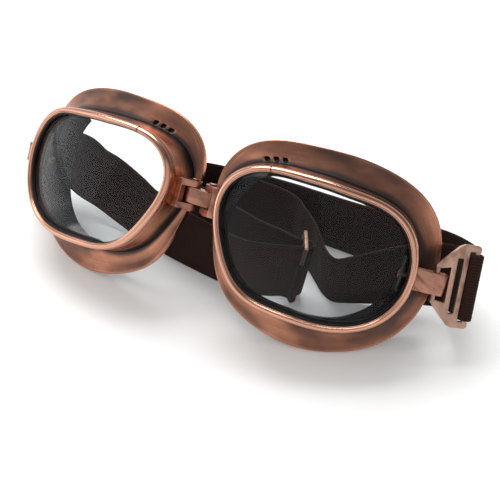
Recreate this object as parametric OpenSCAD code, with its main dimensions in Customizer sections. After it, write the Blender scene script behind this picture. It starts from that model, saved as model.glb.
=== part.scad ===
// Vintage riding goggles, resting on a table as they lie in use:
// two metal eye cups hinged at the nose, a buckle at each temple and a folded elastic strap behind.
// Row frame: +X is the wearer's left, +Y points from the lenses to the strap, +Z is up.
// Everything on a cup is drawn in that cup's own frame: x to the temple, y into the face, z up.

/* [Front rim] */
// Mean radius of the rim's outer outline
rim_mean = 35.45; // [30:0.05:42]
// How much wider than high the rim is, as a radius
rim_widen = 6.6; // [0:0.05:9]
// Lean of the outline, top towards the nose
rim_slant = -1.35; // [-3:0.05:3]
// Narrowing of the nose side
rim_pinch = 1.1; // [-2:0.1:2]
// Taper of the outline towards the nose
rim_taper = 0.2; // [-1:0.05:1]
// Squareness of the outline
rim_square = -0.5; // [-2:0.05:2]
// Skew of the four corners
rim_skew = -0.6; // [-2:0.1:2]
// Fullness of the outline at the temple's corners
rim_temple = 0.15; // [-1:0.05:1]
// Fullness of the outline under the brow
rim_brow = 0.5; // [-1:0.05:1]
// Straightening of the outline's long sides
rim_straight = -0.35; // [-1:0.05:1]
// Turn of the straightened sides
rim_swing = -0.2; // [-1:0.05:1]
// Width of the rounded bead
bead_w = 2.9; // [2:0.1:4]
// Radius of the rim's bow across the face
rim_bow_x = 89; // [70:1:140]
// Radius of the rim's bow up and down
rim_bow_z = 115; // [90:1:180]
// Gap of the split in the bead
split_w = 0.5; // [0.3:0.1:1.5]

/* [Frame wall] */
// Depth from the rim to the crease where the brim starts
wall_depth = 11; // [9:0.5:15]
// Outward draft of the wall at the crease
wall_draft = 0.9; // [0.3:0.1:2]
// Thickness of the wall
wall_t = 1.45; // [1:0.05:2]
// Radius of the crease's bow across the face
crease_bow_x = 71; // [60:1:110]
// Radius of the crease's bow up and down
crease_bow_z = 83; // [70:1:130]

/* [Flared brim] */
// Mean radius of the brim's outline
brim_mean = 45.25; // [42:0.05:52]
// How much wider than high the brim is, as a radius
brim_widen = 3.55; // [0:0.05:7]
// Lean of the brim's outline
brim_slant = -1.4; // [-3:0.05:3]
// Narrowing of the brim's nose side
brim_pinch = 1.7; // [-2:0.1:2]
// Taper of the brim towards the nose
brim_taper = 0.5; // [-1:0.05:1]
// Squareness of the brim's outline
brim_square = -1.25; // [-2:0.05:2]
// Skew of the brim's four corners
brim_skew = -0.5; // [-2:0.1:2]
// Fullness of the brim at the temple's corners
brim_temple = 0.35; // [-1:0.05:1]
// Fullness of the brim under the brow
brim_brow = 0.25; // [-1:0.05:1]
// Straightening of the brim's long sides
brim_straight = -0.5; // [-1:0.05:1]
// Turn of the brim's straightened sides
brim_swing = 0; // [-1:0.05:1]
// Shift of the brim towards the temple
brim_shift = 2.7; // [0:0.1:4]
// Drop of the brim
brim_drop = 0.6; // [0:0.1:2]
// Depth of the brim's edge at its middle
brim_depth = 15.85; // [14.5:0.05:20]
// Radius of the brim edge's bow across the face
brim_bow_x = 105; // [90:1:150]
// Radius of the brim edge's bow up and down
brim_bow_z = 182; // [150:1:260]
// Thickness of the brim's sheet
brim_t = 1.2; // [0.8:0.05:1.6]
// Depth of the lip turned back at the brim's edge
lip_depth = 2.2; // [1.5:0.1:3]
// Width of a vent hole
vent_w = 1.9; // [1:0.1:3]
// Height of a vent hole
vent_h = 2.3; // [1:0.1:3.5]
// Angle between neighbouring vent holes
vent_step = 5; // [4:0.5:9]

/* [Lens] */
// Thickness of the lens
lens_t = 1.9; // [1.5:0.1:2.4]
// Clearance round the lens in its gasket
lens_gap = 0.05; // [0.02:0.01:0.15]

/* [Face side] */
// Mean radius of the eye opening
eye_mean = 33; // [29:0.5:35]
// How much wider than high the eye opening is, as a radius
eye_widen = 3; // [0:0.1:5]
// Thickness of the moulded eye cup
cup_t = 1; // [0.8:0.1:1.5]
// Depth of the face line at its middle
face_depth = 23.8; // [21:0.2:28]
// How much deeper the temple side is, per millimetre outwards
face_slope = 0.076; // [0:0.004:0.16]
// Radius of the face line's bow across the face
face_bow_x = 97; // [85:1:150]
// Radius of the face line's bow up and down
face_bow_z = 182; // [140:1:300]

/* [Set of the cups] */
// Distance of each cup's centre from the middle
cup_x = 53.9; // [52.5:0.1:60]
// Turn of each cup towards its temple
cup_yaw = 12.8; // [8:0.2:16]
// Lean of the goggles on the table
lean = 34.6; // [25:0.1:40]

/* [Nose hinge] */
// Distance of each hinge pin from the middle
pin_x = 4; // [3.6:0.1:5]
// Depth of the hinge pins
pin_y = 11.2; // [10:0.1:12]
// Radius of a hinge pin
pin_r = 1; // [0.7:0.05:1.2]
// Running clearance of a pin in the ears
pin_gap = 0.05; // [0.02:0.01:0.1]
// Height of the middle of the hinge
hinge_z = 6; // [3:0.5:9]
// Height of the link between the ears
link_h = 6.4; // [5:0.2:9]
// Radius of the link's and the ears' round ends
knuckle_r = 2.9; // [2.4:0.1:3.2]
// Thickness of an ear
ear_t = 2.6; // [1.6:0.1:3.2]
// Clearance between the link and an ear
ear_gap = 0.35; // [0.2:0.05:0.6]

/* [Strap tab] */
// Height of the folded tab
tab_h = 8.8; // [7:0.1:10.5]
// Thickness of the tab's sheet
tab_t = 1; // [0.8:0.05:1.2]
// Height of the tab's middle
tab_z = -0.9; // [-3:0.1:2]
// Turn of the tab from the cup's own width
tab_turn = 13.8; // [8:0.2:18]
// Reach from the wall to the buckle's inner bar
tab_reach = 7.8; // [6.8:0.1:9]
// Clearance between the tab and the buckle's inner bar
tab_gap = 0.3; // [0.2:0.05:0.5]

/* [Buckle] */
// Thickness of the buckle's plate
buckle_t = 1.8; // [1.4:0.1:2.2]
// Half height of the buckle
buckle_h = 17; // [16:0.1:20]
// Radius of the inner and the outer bar
bar_r = 1.1; // [0.9:0.05:1.25]
// Width of the flat bars
flat_bar_w = 2.2; // [1.6:0.1:2.6]
// Distance from the inner bar to the first flat bar
window_w = 5; // [4.9:0.1:6]
// Width of the free slot
slot_w = 2.2; // [1.6:0.1:3]
// Distance from the inner bar to the outer bar
bar_span = 14.5; // [14.4:0.1:17]
// Tilt of the buckle in its tab
buckle_tilt = 6.5; // [0:0.5:8]
// How far the right buckle is folded back as it lies
right_fold = 57; // [50:1:60]

/* [Strap] */
// Width of the elastic
strap_w = 27; // [22:0.5:27.5]
// Thickness of the elastic
strap_t = 1.5; // [1:0.1:1.6]
// Clearance between the elastic and the outer bar
strap_gap = 0.25; // [0.15:0.05:0.4]
// Length of the slider along the elastic
slider_len = 13; // [12.6:0.2:16]
// Thickness of the slider
slider_t = 1.6; // [1.2:0.1:2]

/* [Hidden] */

copper = "#b8694a";
dark_copper = "#6e4636";
rubber = "#1c1c1f";
elastic = "#38221b";
seg = 60;
round_fn = 48;
left = 1;
right = -1;
// Where the bead is split, from the temple over the top
split_angle = 131;

rim_line = [
    rim_mean, rim_widen, rim_slant, rim_taper, rim_pinch, rim_square, rim_skew,
    rim_temple, rim_brow, rim_straight, rim_swing
];
brim_line = [
    brim_mean, brim_widen, brim_slant, brim_taper, brim_pinch, brim_square, brim_skew,
    brim_temple, brim_brow, brim_straight, brim_swing
];
eye_line = [eye_mean, eye_widen, 0, 0, 0, 0, 0, 0, 0, 0, 0];

// Depths behind the rim's own bow
seat_gap = 0.05;
bead_back = 1.95;
wall_front = bead_back + seat_gap;
gasket_lip = 0.7;
lens_front = wall_front + gasket_lip + lens_gap;
lens_back = lens_front + lens_t;
gasket_back = lens_back + lens_gap + 1.1;
ledge_front = gasket_back + seat_gap;
ledge_t = 0.8;
ledge_back = ledge_front + ledge_t;
gasket_grow = -wall_t - seat_gap;
lens_grow = gasket_grow - 1;
ledge_grow = -bead_w - 0.9;
ledge_bow = 0.3;
foot_depth = 1.9;
brim_flare = 1.4;
flange_reach = 0.2;

// A round outline with waves of two to six crests, each with its level and its upright part
function outline(o, t) =
    o[0] + o[1] * cos(2 * t) + o[2] * sin(2 * t) + o[3] * cos(3 * t) + o[4] * sin(3 * t)
    + o[5] * cos(4 * t) + o[6] * sin(4 * t) + o[7] * cos(5 * t) + o[8] * sin(5 * t)
    + o[9] * cos(6 * t) + o[10] * sin(6 * t);
function bow(x, z, rx, rz) = x * x / (2 * rx) + z * z / (2 * rz);
function mix(a, b, w) = a * (1 - w) + b * w;
function angle_at(i) = 360 * i / seg;

// A ring that follows the rim's outline, its bow turning into the crease's bow as m goes to 1
function rim_point(t, grow, depth, m) =
    let (r = outline(rim_line, t) + grow, x = r * cos(t), z = r * sin(t))
    [x, depth + mix(bow(x, z, rim_bow_x, rim_bow_z), bow(x, z, crease_bow_x, crease_bow_z), m), z];
function rim_ring(grow, depth, m = 0) = [for (i = [0:seg - 1]) rim_point(angle_at(i), grow, depth, m)];

// The brim's front face, from the crease at w = 0 to its edge at w = 1
function brim_edge(t, grow) =
    let (r = outline(brim_line, t) + grow, x = r * cos(t) + brim_shift, z = r * sin(t) - brim_drop)
    [x, brim_depth + bow(x, z, brim_bow_x, brim_bow_z), z];
function brim_point(t, w, back, grow = 0) =
    let (a = rim_point(t, wall_draft + seat_gap, wall_depth, 1), b = brim_edge(t, grow))
    [mix(a[0], b[0], w), mix(a[1], b[1], 1 - pow(1 - w, brim_flare)) + back, mix(a[2], b[2], w)];
function brim_ring(w, back, grow = 0) = [for (i = [0:seg - 1]) brim_point(angle_at(i), w, back, grow)];

// The line where the goggles meet the face
function face_at(x, z) = face_depth + face_slope * x + bow(x, z, face_bow_x, face_bow_z);
function eye_point(t, grow, back) =
    let (r = outline(eye_line, t) + grow, x = r * cos(t), z = r * sin(t)) [x, face_at(x, z) + back, z];

// The moulded eye cup, from the lens ledge at v = 0 to the face at v = 1
function cup_point(t, v, grow) =
    let (a = rim_point(t, ledge_grow + grow, ledge_back + seat_gap, ledge_bow), b = eye_point(t, grow, -1.5))
    [mix(a[0], b[0], v * v), mix(a[1], b[1], v), mix(a[2], b[2], v * v)];
function cup_ring(v, grow) = [for (i = [0:seg - 1]) cup_point(angle_at(i), v, grow)];

// Stations of the pad's crown, from the eye opening out to the brim
pad_steps = [[0.97, 0.86], [0.82, 1], [0.6, 1.04], [0.38, 0.98], [0.16, 0.78], [0.04, 0.4], [0, 0.02]];
// The pad's face side: q runs from the brim's lip to the eye opening, v from the brim to the face
function pad_point(t, q, v) =
    let (
        s = brim_point(t, 1, lip_depth + 0.15, -1.6),
        e = eye_point(t, cup_t + 0.3, 0),
        x = mix(s[0], e[0], q),
        z = mix(s[2], e[2], q)
    )
    [x, mix(s[1], face_at(x, z), v), z];
function pad_ring(q, v) = [for (i = [0:seg - 1]) pad_point(angle_at(i), q, v)];

// Closed loft through a loop of rings
module loop_loft(rings) {
    m = len(rings);
    polyhedron(
        points = [for (ring = rings) each ring],
        faces = [
            for (j = [0:m - 1], i = [0:seg - 1])
                let (
                    a = j * seg + i,
                    b = j * seg + (i + 1) % seg,
                    c = ((j + 1) % m) * seg + (i + 1) % seg,
                    d = ((j + 1) % m) * seg + i
                )
                each [[a, b, c], [a, c, d]]
        ],
        convexity = 8
    );
}

// Loft through rings between two poles
module pole_loft(first_pole, rings, last_pole) {
    m = len(rings);
    last = m * seg + 1;
    polyhedron(
        points = concat([first_pole], [for (ring = rings) each ring], [last_pole]),
        faces = concat(
            [for (i = [0:seg - 1]) [0, 1 + (i + 1) % seg, 1 + i]],
            [for (j = [0:m - 2], i = [0:seg - 1])
                let (
                    a = 1 + j * seg + i,
                    b = 1 + j * seg + (i + 1) % seg,
                    c = b + seg,
                    d = a + seg
                )
                each [[a, b, c], [a, c, d]]],
            [for (i = [0:seg - 1]) [last, last - seg + i, last - seg + (i + 1) % seg]]
        ),
        convexity = 4
    );
}

// The lowest points of a cup rest on the table
function leaned(p) = [p[0], p[1] * cos(lean) + p[2] * sin(lean), p[2] * cos(lean) - p[1] * sin(lean)];
function turned(p) = [
    p[0] * cos(cup_yaw) - p[1] * sin(cup_yaw) + cup_x, p[0] * sin(cup_yaw) + p[1] * cos(cup_yaw), p[2]
];
lip_line = [for (p = brim_ring(1, lip_depth)) leaned(turned(p))];
pad_line = [for (q = pad_steps, p = pad_ring(q[0], q[1])) leaned(turned(p))];
bead_line = [for (p = rim_ring(-0.42 * bead_w, -0.55)) leaned(turned(p))];
table_drop = -min([for (p = concat(lip_line, pad_line)) p[2]]);
front_y = min([for (p = bead_line) p[1]]);

// Moves from the goggles' upright frame onto the table
module on_table() {
    translate([-middle_x, -middle_y, table_drop]) rotate([-lean, 0, 0]) children();
}
module behind() {
    translate([-middle_x, -middle_y, 0]) children();
}
function to_table(p) = leaned(p) + [0, 0, table_drop];

// Moves from a cup's own frame to the table, mirrored for the wearer's right
module on_cup(side) {
    on_table() mirror([side < 0 ? 1 : 0, 0, 0]) translate([cup_x, 0, 0]) rotate([0, 0, cup_yaw]) children();
}
function from_cup(p, side) = let (g = turned(p)) to_table([side * g[0], g[1], g[2]]);

module bezel(side) {
    color(copper) on_cup(side) difference() {
        loop_loft([
            rim_ring(0, bead_back),
            rim_ring(0, 1),
            rim_ring(-0.16 * bead_w, -0.05),
            rim_ring(-0.42 * bead_w, -0.55),
            rim_ring(-0.69 * bead_w, -0.4),
            rim_ring(-0.92 * bead_w, 0.35),
            rim_ring(-bead_w, 1.2),
            rim_ring(-bead_w, bead_back)
        ]);
        rotate([0, -split_angle, 0])
            translate([outline(rim_line, split_angle) - bead_w / 2, bead_back, 0])
                cube([2 * bead_w, 8 * bead_back, split_w], center = true);
    }
}

module lens(side) {
    function shrink(s, depth) = [
        for (i = [0:seg - 1])
            let (p = rim_point(angle_at(i), lens_grow - lens_gap, 0, 0), x = p[0] * s, z = p[2] * s)
            [x, depth + bow(x, z, rim_bow_x, rim_bow_z), z]
    ];
    color([0.8, 0.85, 0.88, 0.3]) on_cup(side) pole_loft(
        [0, lens_front, 0],
        [
            shrink(0.35, lens_front), shrink(0.7, lens_front), shrink(0.94, lens_front), shrink(1, lens_front),
            shrink(1, lens_back), shrink(0.94, lens_back), shrink(0.7, lens_back), shrink(0.35, lens_back)
        ],
        [0, lens_back, 0]
    );
}

module gasket(side) {
    color(rubber) on_cup(side) loop_loft([
        rim_ring(gasket_grow, wall_front),
        rim_ring(-bead_w - 0.6, wall_front),
        rim_ring(-bead_w - 0.6, lens_front - lens_gap),
        rim_ring(lens_grow, lens_front - lens_gap),
        rim_ring(lens_grow, lens_back + lens_gap),
        rim_ring(-bead_w - 0.8, lens_back + lens_gap),
        rim_ring(-bead_w - 0.8, gasket_back),
        rim_ring(gasket_grow, gasket_back)
    ]);
}

module front_frame(side) {
    color(dark_copper) on_cup(side) difference() {
        frame_shell();
        rivet_hole();
        vents();
    }
}

module frame_shell() {
    loop_loft([
        rim_ring(-0.05, wall_front),
        rim_ring(-wall_t, wall_front),
        rim_ring(-wall_t, ledge_front),
        rim_ring(ledge_grow, ledge_front),
        rim_ring(ledge_grow, ledge_back, ledge_bow),
        rim_ring(0.6 - wall_t, ledge_back, ledge_bow),
        rim_ring(wall_draft - wall_t, wall_depth + foot_depth, 1),
        brim_ring(flange_reach, brim_t + 1),
        brim_ring(flange_reach, brim_t + 0.15),
        rim_ring(wall_draft, wall_depth + brim_t, 1),
        rim_ring(wall_draft, wall_depth, 1),
        rim_ring(wall_draft * 0.5, wall_depth * 0.72, 0.65),
        rim_ring(0.05, wall_depth * 0.4, 0.25)
    ]);
}

// All that the frame's wall encloses, to cut what is fixed to its outside
module wall_plug() {
    g = seat_gap;
    pole_loft(
        [0, 0, 0],
        [
            rim_ring(g, wall_front),
            rim_ring(0.05 + g, wall_depth * 0.4, 0.25),
            rim_ring(wall_draft * 0.5 + g, wall_depth * 0.72, 0.65),
            rim_ring(wall_draft + g, wall_depth, 1)
        ],
        [0, 2 * wall_depth, 0]
    );
}

// Where the middle vent hole is, from the temple over the top
vent_angle = 129;
// How far out on the brim the vent holes are
vent_place = 0.13;

module vents() {
    for (k = [-1:1]) {
        t = vent_angle + k * vent_step;
        p = brim_point(t, vent_place, 0);
        translate(p) rotate([0, 90 - t, 0]) rotate([35, 0, 0]) cube([vent_w, 8, vent_h], center = true);
    }
}

module brim(side) {
    color(copper) on_cup(side) difference() {
        loop_loft([
            brim_ring(0, 0),
            brim_ring(0.25, 0),
            brim_ring(0.5, 0),
            brim_ring(0.75, 0),
            brim_ring(0.95, 0),
            brim_ring(1, 0.35),
            brim_ring(1, lip_depth),
            brim_ring(1, lip_depth, -brim_t),
            brim_ring(0.95, brim_t, -0.6),
            brim_ring(0.75, brim_t),
            brim_ring(0.5, brim_t),
            brim_ring(0.25, brim_t),
            brim_ring(0, brim_t)
        ]);
        vents();
    }
}

module eye_cup(side) {
    color(rubber) on_cup(side) difference() {
        loop_loft([
            cup_ring(0, 0), cup_ring(0.35, 0), cup_ring(0.7, 0), cup_ring(1, 0),
            cup_ring(1, cup_t), cup_ring(0.7, cup_t), cup_ring(0.35, cup_t), cup_ring(0, cup_t)
        ]);
        rivet_hole();
    }
}

module face_pad(side) {
    color(rubber) on_cup(side) loop_loft([
        brim_ring(0.9, brim_t + 0.4, -1.4),
        brim_ring(0.6, brim_t + 0.4, -1),
        brim_ring(0.38, brim_t + 1.5),
        cup_ring(0.84, cup_t + 0.3),
        cup_ring(0.93, cup_t + 0.3),
        each [for (q = pad_steps) pad_ring(q[0], q[1])]
    ]);
}

// The hinge pin's place in a cup's own frame
pin_from_cup = [
    (pin_x - cup_x) * cos(cup_yaw) + pin_y * sin(cup_yaw),
    (cup_x - pin_x) * sin(cup_yaw) + pin_y * cos(cup_yaw)
];
ear_z = link_h / 2 + ear_gap;
root_x = ledge_grow - rim_mean;
foot_front = 6.4;
foot_back = knuckle_r + 0.3;
// How far the ear's back edge comes forward towards the wall
ear_slope = 0.5;

module ear_shape() {
    difference() {
        union() {
            translate(pin_from_cup) circle(r = knuckle_r, $fn = round_fn);
            polygon([
                [root_x, pin_from_cup[1] - foot_front],
                [root_x, pin_from_cup[1] - ear_slope],
                pin_from_cup + knuckle_r * [cos(75), sin(75)],
                pin_from_cup + knuckle_r * [cos(215), sin(215)],
                pin_from_cup + [knuckle_r * 0.6, -foot_front]
            ]);
        }
        translate(pin_from_cup) circle(r = pin_r + pin_gap, $fn = round_fn);
    }
}

module hinge_bracket(side) {
    low = hinge_z - ear_z - ear_t;
    color(copper) on_cup(side) difference() {
        union() {
            for (s = [0, 1]) translate([0, 0, low + s * (2 * ear_z + ear_t)]) linear_extrude(ear_t) ear_shape();
            translate([pin_from_cup[0] + knuckle_r * 0.6, pin_from_cup[1] - foot_front, low])
                cube([root_x - pin_from_cup[0] - knuckle_r * 0.6, foot_front - foot_back, 2 * (ear_z + ear_t)]);
        }
        wall_plug();
    }
}

module bridge_link() {
    color(copper) on_table() translate([0, pin_y, hinge_z - link_h / 2]) difference() {
        linear_extrude(link_h) union() {
            for (s = [-1, 1]) translate([s * pin_x, 0]) circle(r = knuckle_r, $fn = round_fn);
            square([2 * pin_x, 2 * knuckle_r], center = true);
        }
        for (s = [-1, 1])
            translate([s * pin_x, 0, -1]) cylinder(r = pin_r, h = link_h + 2, $fn = round_fn);
    }
}

module hinge_pin(side) {
    half = ear_z + ear_t + 0.15;
    color(copper) on_table() translate([side * pin_x, pin_y, hinge_z]) {
        cylinder(r = pin_r, h = 2 * half, center = true, $fn = round_fn);
        for (s = [-1, 1])
            translate([0, 0, s * (half + 0.3)]) cylinder(r = pin_r + 0.7, h = 0.6, center = true, $fn = round_fn);
    }
}

// The tab, the buckle and the wrapped end of the strap share a frame at the buckle's inner bar
wall_y = 18.2;
wall_x = rim_mean + rim_widen + wall_draft * 0.45;
bar_place = [wall_x + tab_reach * cos(tab_turn), wall_y + tab_reach * sin(tab_turn), tab_z];
module at_bar() {
    translate(bar_place) rotate([0, 0, tab_turn]) children();
}
function fold_of(side) = side < 0 ? right_fold : 0;
module at_buckle(side) {
    at_bar() rotate([0, -buckle_tilt, 0]) rotate([0, 0, fold_of(side)]) children();
}
function from_buckle(p, side) =
    let (
        f = fold_of(side),
        a = p[0] * cos(f) - p[1] * sin(f),
        b = p[0] * sin(f) + p[1] * cos(f),
        u = a * cos(buckle_tilt) - p[2] * sin(buckle_tilt),
        w = a * sin(buckle_tilt) + p[2] * cos(buckle_tilt)
    )
    from_cup([
        bar_place[0] + u * cos(tab_turn) - b * sin(tab_turn),
        bar_place[1] + u * sin(tab_turn) + b * cos(tab_turn),
        bar_place[2] + w
    ], side);

fold_in = bar_r + tab_gap;
fold_out = fold_in + tab_t;
fold_u = window_w - 0.8 - fold_out;

module strap_tab(side) {
    color(copper) on_cup(side) difference() {
        at_bar() translate([0, 0, -tab_h / 2]) linear_extrude(tab_h) union() {
            for (y = [-fold_out, fold_in])
                translate([-tab_reach - 2, y]) square([tab_reach + 2 + fold_u, tab_t]);
            translate([fold_u, 0]) difference() {
                circle(r = fold_out, $fn = round_fn);
                circle(r = fold_in, $fn = round_fn);
                translate([-2 * fold_out, -fold_out]) square([2 * fold_out, 2 * fold_out]);
            }
        }
        wall_plug();
    }
}

// The tab is held by a rivet from a plate inside the eye cup, its outer head between the tab's two layers
rivet_y = wall_y + 0.3;
rivet_r = 0.9;
head_r = 1.25;
plate_t = 0.8;
plate_h = 14;
plate_w = 6;
plate_tip = cup_point(asin(plate_h / 2 / (rim_mean + rim_widen + ledge_grow)), 0.3, 0);
plate_x = plate_tip[0] - plate_t - 0.35;
head_x = wall_x + 0.2;

module rivet_hole() {
    translate([plate_x - 1, rivet_y, tab_z]) rotate([0, 90, 0])
        cylinder(r = rivet_r + seat_gap, h = head_x - plate_x + 2, $fn = round_fn);
}

module tab_plate(side) {
    color(rubber) on_cup(side) difference() {
        translate([plate_x, rivet_y - 2.2, tab_z - plate_h / 2]) cube([plate_t, plate_w, plate_h]);
        rivet_hole();
    }
}

module tab_rivet(side) {
    color(copper) on_cup(side) translate([0, rivet_y, tab_z]) rotate([0, 90, 0]) {
        translate([0, 0, plate_x - 0.7]) cylinder(r = 1.7, h = 0.65, $fn = round_fn);
        translate([0, 0, plate_x - 0.7]) cylinder(r = rivet_r, h = head_x - plate_x + 1.2, $fn = round_fn);
        translate([0, 0, head_x]) cylinder(r = head_r, h = 0.5, $fn = round_fn);
    }
}

fork_u = window_w + flat_bar_w + slot_w + flat_bar_w;
arm_w = 2.8;
fork_h = buckle_h - arm_w;
stub_h = tab_h / 2 + 3.1;
window_h = tab_h / 2 + 2;
slot_h = 22.6;

function half_buckle() = [
    [-bar_r, stub_h], [window_w + 2.2, buckle_h - 0.9], [window_w + 3.9, buckle_h],
    [bar_span + 0.4, buckle_h], [bar_span + 1.4, buckle_h - 0.9], [bar_span + 1.4, fork_h],
    [fork_u, fork_h]
];
function buckle_points(half) = concat(half, [for (i = [len(half) - 1:-1:0]) [half[i][0], -half[i][1]]]);

module buckle_shape() {
    difference() {
        polygon(buckle_points(half_buckle()));
        polygon([
            [-bar_r - 1, window_h], [bar_r, window_h], [window_w, window_h + 0.9],
            [window_w, -window_h - 0.9], [bar_r, -window_h], [-bar_r - 1, -window_h]
        ]);
        translate([window_w + flat_bar_w, -slot_h / 2]) square([slot_w, slot_h]);
    }
}

module buckle(side) {
    color(copper) on_cup(side) at_buckle(side) union() {
        rotate([90, 0, 0]) linear_extrude(buckle_t, center = true) buckle_shape();
        cylinder(r = bar_r, h = 2 * window_h + 0.6, center = true, $fn = round_fn);
        translate([bar_span, 0, 0])
            cylinder(r = bar_r, h = 2 * fork_h + 0.6, center = true, $fn = round_fn);
    }
}

// The elastic wrapped round the outer bar, open to the back
wrap_in = bar_r + strap_gap;
wrap_mid = wrap_in + strap_t / 2;
wrap_out = wrap_in + strap_t;
leg = 3;
bar_gap = 0.6;

module strap_end(side) {
    color(elastic) on_cup(side) at_buckle(side) translate([bar_span, 0, -strap_w / 2]) linear_extrude(strap_w) {
        difference() {
            circle(r = wrap_out, $fn = round_fn);
            circle(r = wrap_in, $fn = round_fn);
            translate([-2 * wrap_out, 0]) square(4 * wrap_out);
        }
        for (u = [-wrap_out, wrap_in]) translate([u, 0]) square([strap_t, leg]);
    }
}

// A station on the strap's run: the middle of its width and the direction of its width.
// Stations are given by the foot, [x, y, height over the table, lean backwards in degrees].
function station(f) =
    let (w = [0, sin(f[3]), cos(f[3])], rise = abs(sin(f[3])) * strap_t / 2 + 0.25)
    [[f[0], f[1], f[2] + rise] + w * strap_w / 2, w];
function bar_station(side, u, depth) =
    let (c = from_buckle([bar_span + u, depth, 0], side), d = from_buckle([bar_span + u, depth, 1], side))
    [c, d - c];

// Smooth curve through the stations
function spline(a, b, c, d, t) =
    0.5 * (2 * b + (c - a) * t + (2 * a - 5 * b + 4 * c - d) * t * t + (3 * b - a - 3 * c + d) * t * t * t);
function run(s, first, last, steps) = [
    for (i = [first:last - 1], k = [0:steps - (i < last - 1 ? 1 : 0)])
        let (a = s[max(i - 1, 0)], b = s[i], c = s[i + 1], d = s[min(i + 2, len(s) - 1)], t = k / steps)
        [spline(a[0], b[0], c[0], d[0], t), spline(a[1], b[1], c[1], d[1], t)]
];
function unit(v) = v / norm(v);
function corners(run, i, short) =
    let (
        n = len(run),
        along = unit(run[min(i + 1, n - 1)][0] - run[max(i - 1, 0)][0]),
        c = run[i][0] + along * short,
        w = unit(run[i][1] - along * (run[i][1] * along)) * strap_w / 2,
        f = unit(cross(along, w)) * strap_t / 2
    )
    [c - w - f, c + w - f, c + w + f, c - w + f];

module ribbon(run, trim_first = 0, trim_last = 0) {
    n = len(run);
    polyhedron(
        points = [
            for (i = [0:n - 1])
                each corners(run, i, i == 0 ? trim_first : i == n - 1 ? -trim_last : 0)
        ],
        faces = concat(
            [[0, 1, 2, 3]],
            [for (i = [0:n - 2], k = [0:3])
                let (a = 4 * i + k, b = 4 * i + (k + 1) % 4) each [[a, a + 4, b + 4], [a, b + 4, b]]],
            [[4 * n - 1, 4 * n - 2, 4 * n - 3, 4 * n - 4]]
        ),
        convexity = 10
    );
}

// The slider stands on its end with its face towards the wearer's left, leaning back and to the left
slider_place = [38.4, 20.8, 0];
slider_turn = 24;
slider_back = 8;
slider_side = 8;
slider_bar = 2.1;
slider_end = 1.5;
slider_slot = (slider_len - 3 * slider_bar) / 2;
slider_h = strap_w + 1.6 + 2 * slider_end;
lane = (slider_bar + slider_slot) / 2;
loop_n = slider_t / 2 + 0.3;
slider_up = [cos(slider_back) * sin(slider_side), sin(slider_back), cos(slider_back) * cos(slider_side)];
slider_rise = slider_len / 2 * sin(slider_back) + 0.3;
// The strap at the slider: n along the slider's face direction, d across its bars
function at_slider(n, d) =
    let (
        x = n * cos(slider_turn) - d * sin(slider_turn),
        y = n * sin(slider_turn) + d * cos(slider_turn),
        z = slider_h / 2,
        zb = z * cos(slider_back) - y * sin(slider_back)
    )
    [
        slider_place + [
            x * cos(slider_side) + zb * sin(slider_side),
            y * cos(slider_back) + z * sin(slider_back),
            zb * cos(slider_side) - x * sin(slider_side) + slider_rise
        ],
        slider_up
    ];

// The strap's run from the right buckle over the slider's bar and back to the left buckle
front_feet = [
    [-84.5, 31.4, 9.4, 37],
    [-77, 29.4, 6.6, 39],
    [-66, 28, 4.6, 38],
    [-48.5, 24.4, 1, 31],
    [-36, 21.2, 0.2, 23],
    [-25, 18.7, 0.2, 18],
    [-10, 16.3, 0.2, 14],
    [6, 14.4, 0.2, 11],
    [20, 13.4, 1, 9],
    [31, 14.4, 3, 8]
];
slider_loop = [
    [-slider_t - 1, -lane],
    [0, -lane],
    [loop_n, -lane],
    [loop_n + 0.7 * lane, -0.7 * lane],
    [loop_n + lane, 0],
    [loop_n + 0.7 * lane, 0.7 * lane],
    [loop_n, lane],
    [0, lane],
    [-slider_t - 1, lane]
];
back_feet = [
    [31, 24.6, 2.6, 8],
    [25, 27, 1.2, 7],
    [17.5, 29.8, 0.2, 6],
    [2.3, 33.8, 0.2, 6],
    [-14, 38.6, 0.2, 5],
    [-25, 42.6, 0.2, 4],
    [-31, 46.3, 0.2, 2],
    [-33, 50.3, 0.2, 1],
    [-30.5, 54, 0.2, 3],
    [-23, 56.3, 0.2, 6],
    [-4, 57.8, 0.2, 8],
    [18, 58.6, 0.2, 9],
    [43, 58.2, 0.2, 9],
    [64, 57, 0.2, 12],
    [78, 54.8, 0.8, 18],
    [88, 51.6, 2, 24],
    [96, 47.8, 4, 29],
    [102.4, 42.9, 6.4, 32],
    [107, 37.2, 9.2, 34]
];
// The strap's return from the left buckle to its loose end
tail_feet = [
    [101.3, 34.4, 9.2, 34],
    [95.5, 35.8, 6.6, 32],
    [88, 35.2, 4.4, 28],
    [80, 33.4, 2.4, 22],
    [70, 30.6, 0.6, 10],
    [62, 27.6, 0.2, 1],
    [56.5, 26.2, 0.2, -4],
    [51, 28.8, 0.2, -3],
    [45.5, 33.8, 0.2, 1],
    [39.5, 39.2, 0.2, 6],
    [32, 44, 0.2, 11],
    [25, 49.4, 0.2, 12],
    [15, 53, 0.2, 10],
    [0, 54.4, 0.2, 8]
];
// How many of its stations each moving side of the strap takes
right_count = 7;
left_count = 9;
tail_count = 8;

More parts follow.
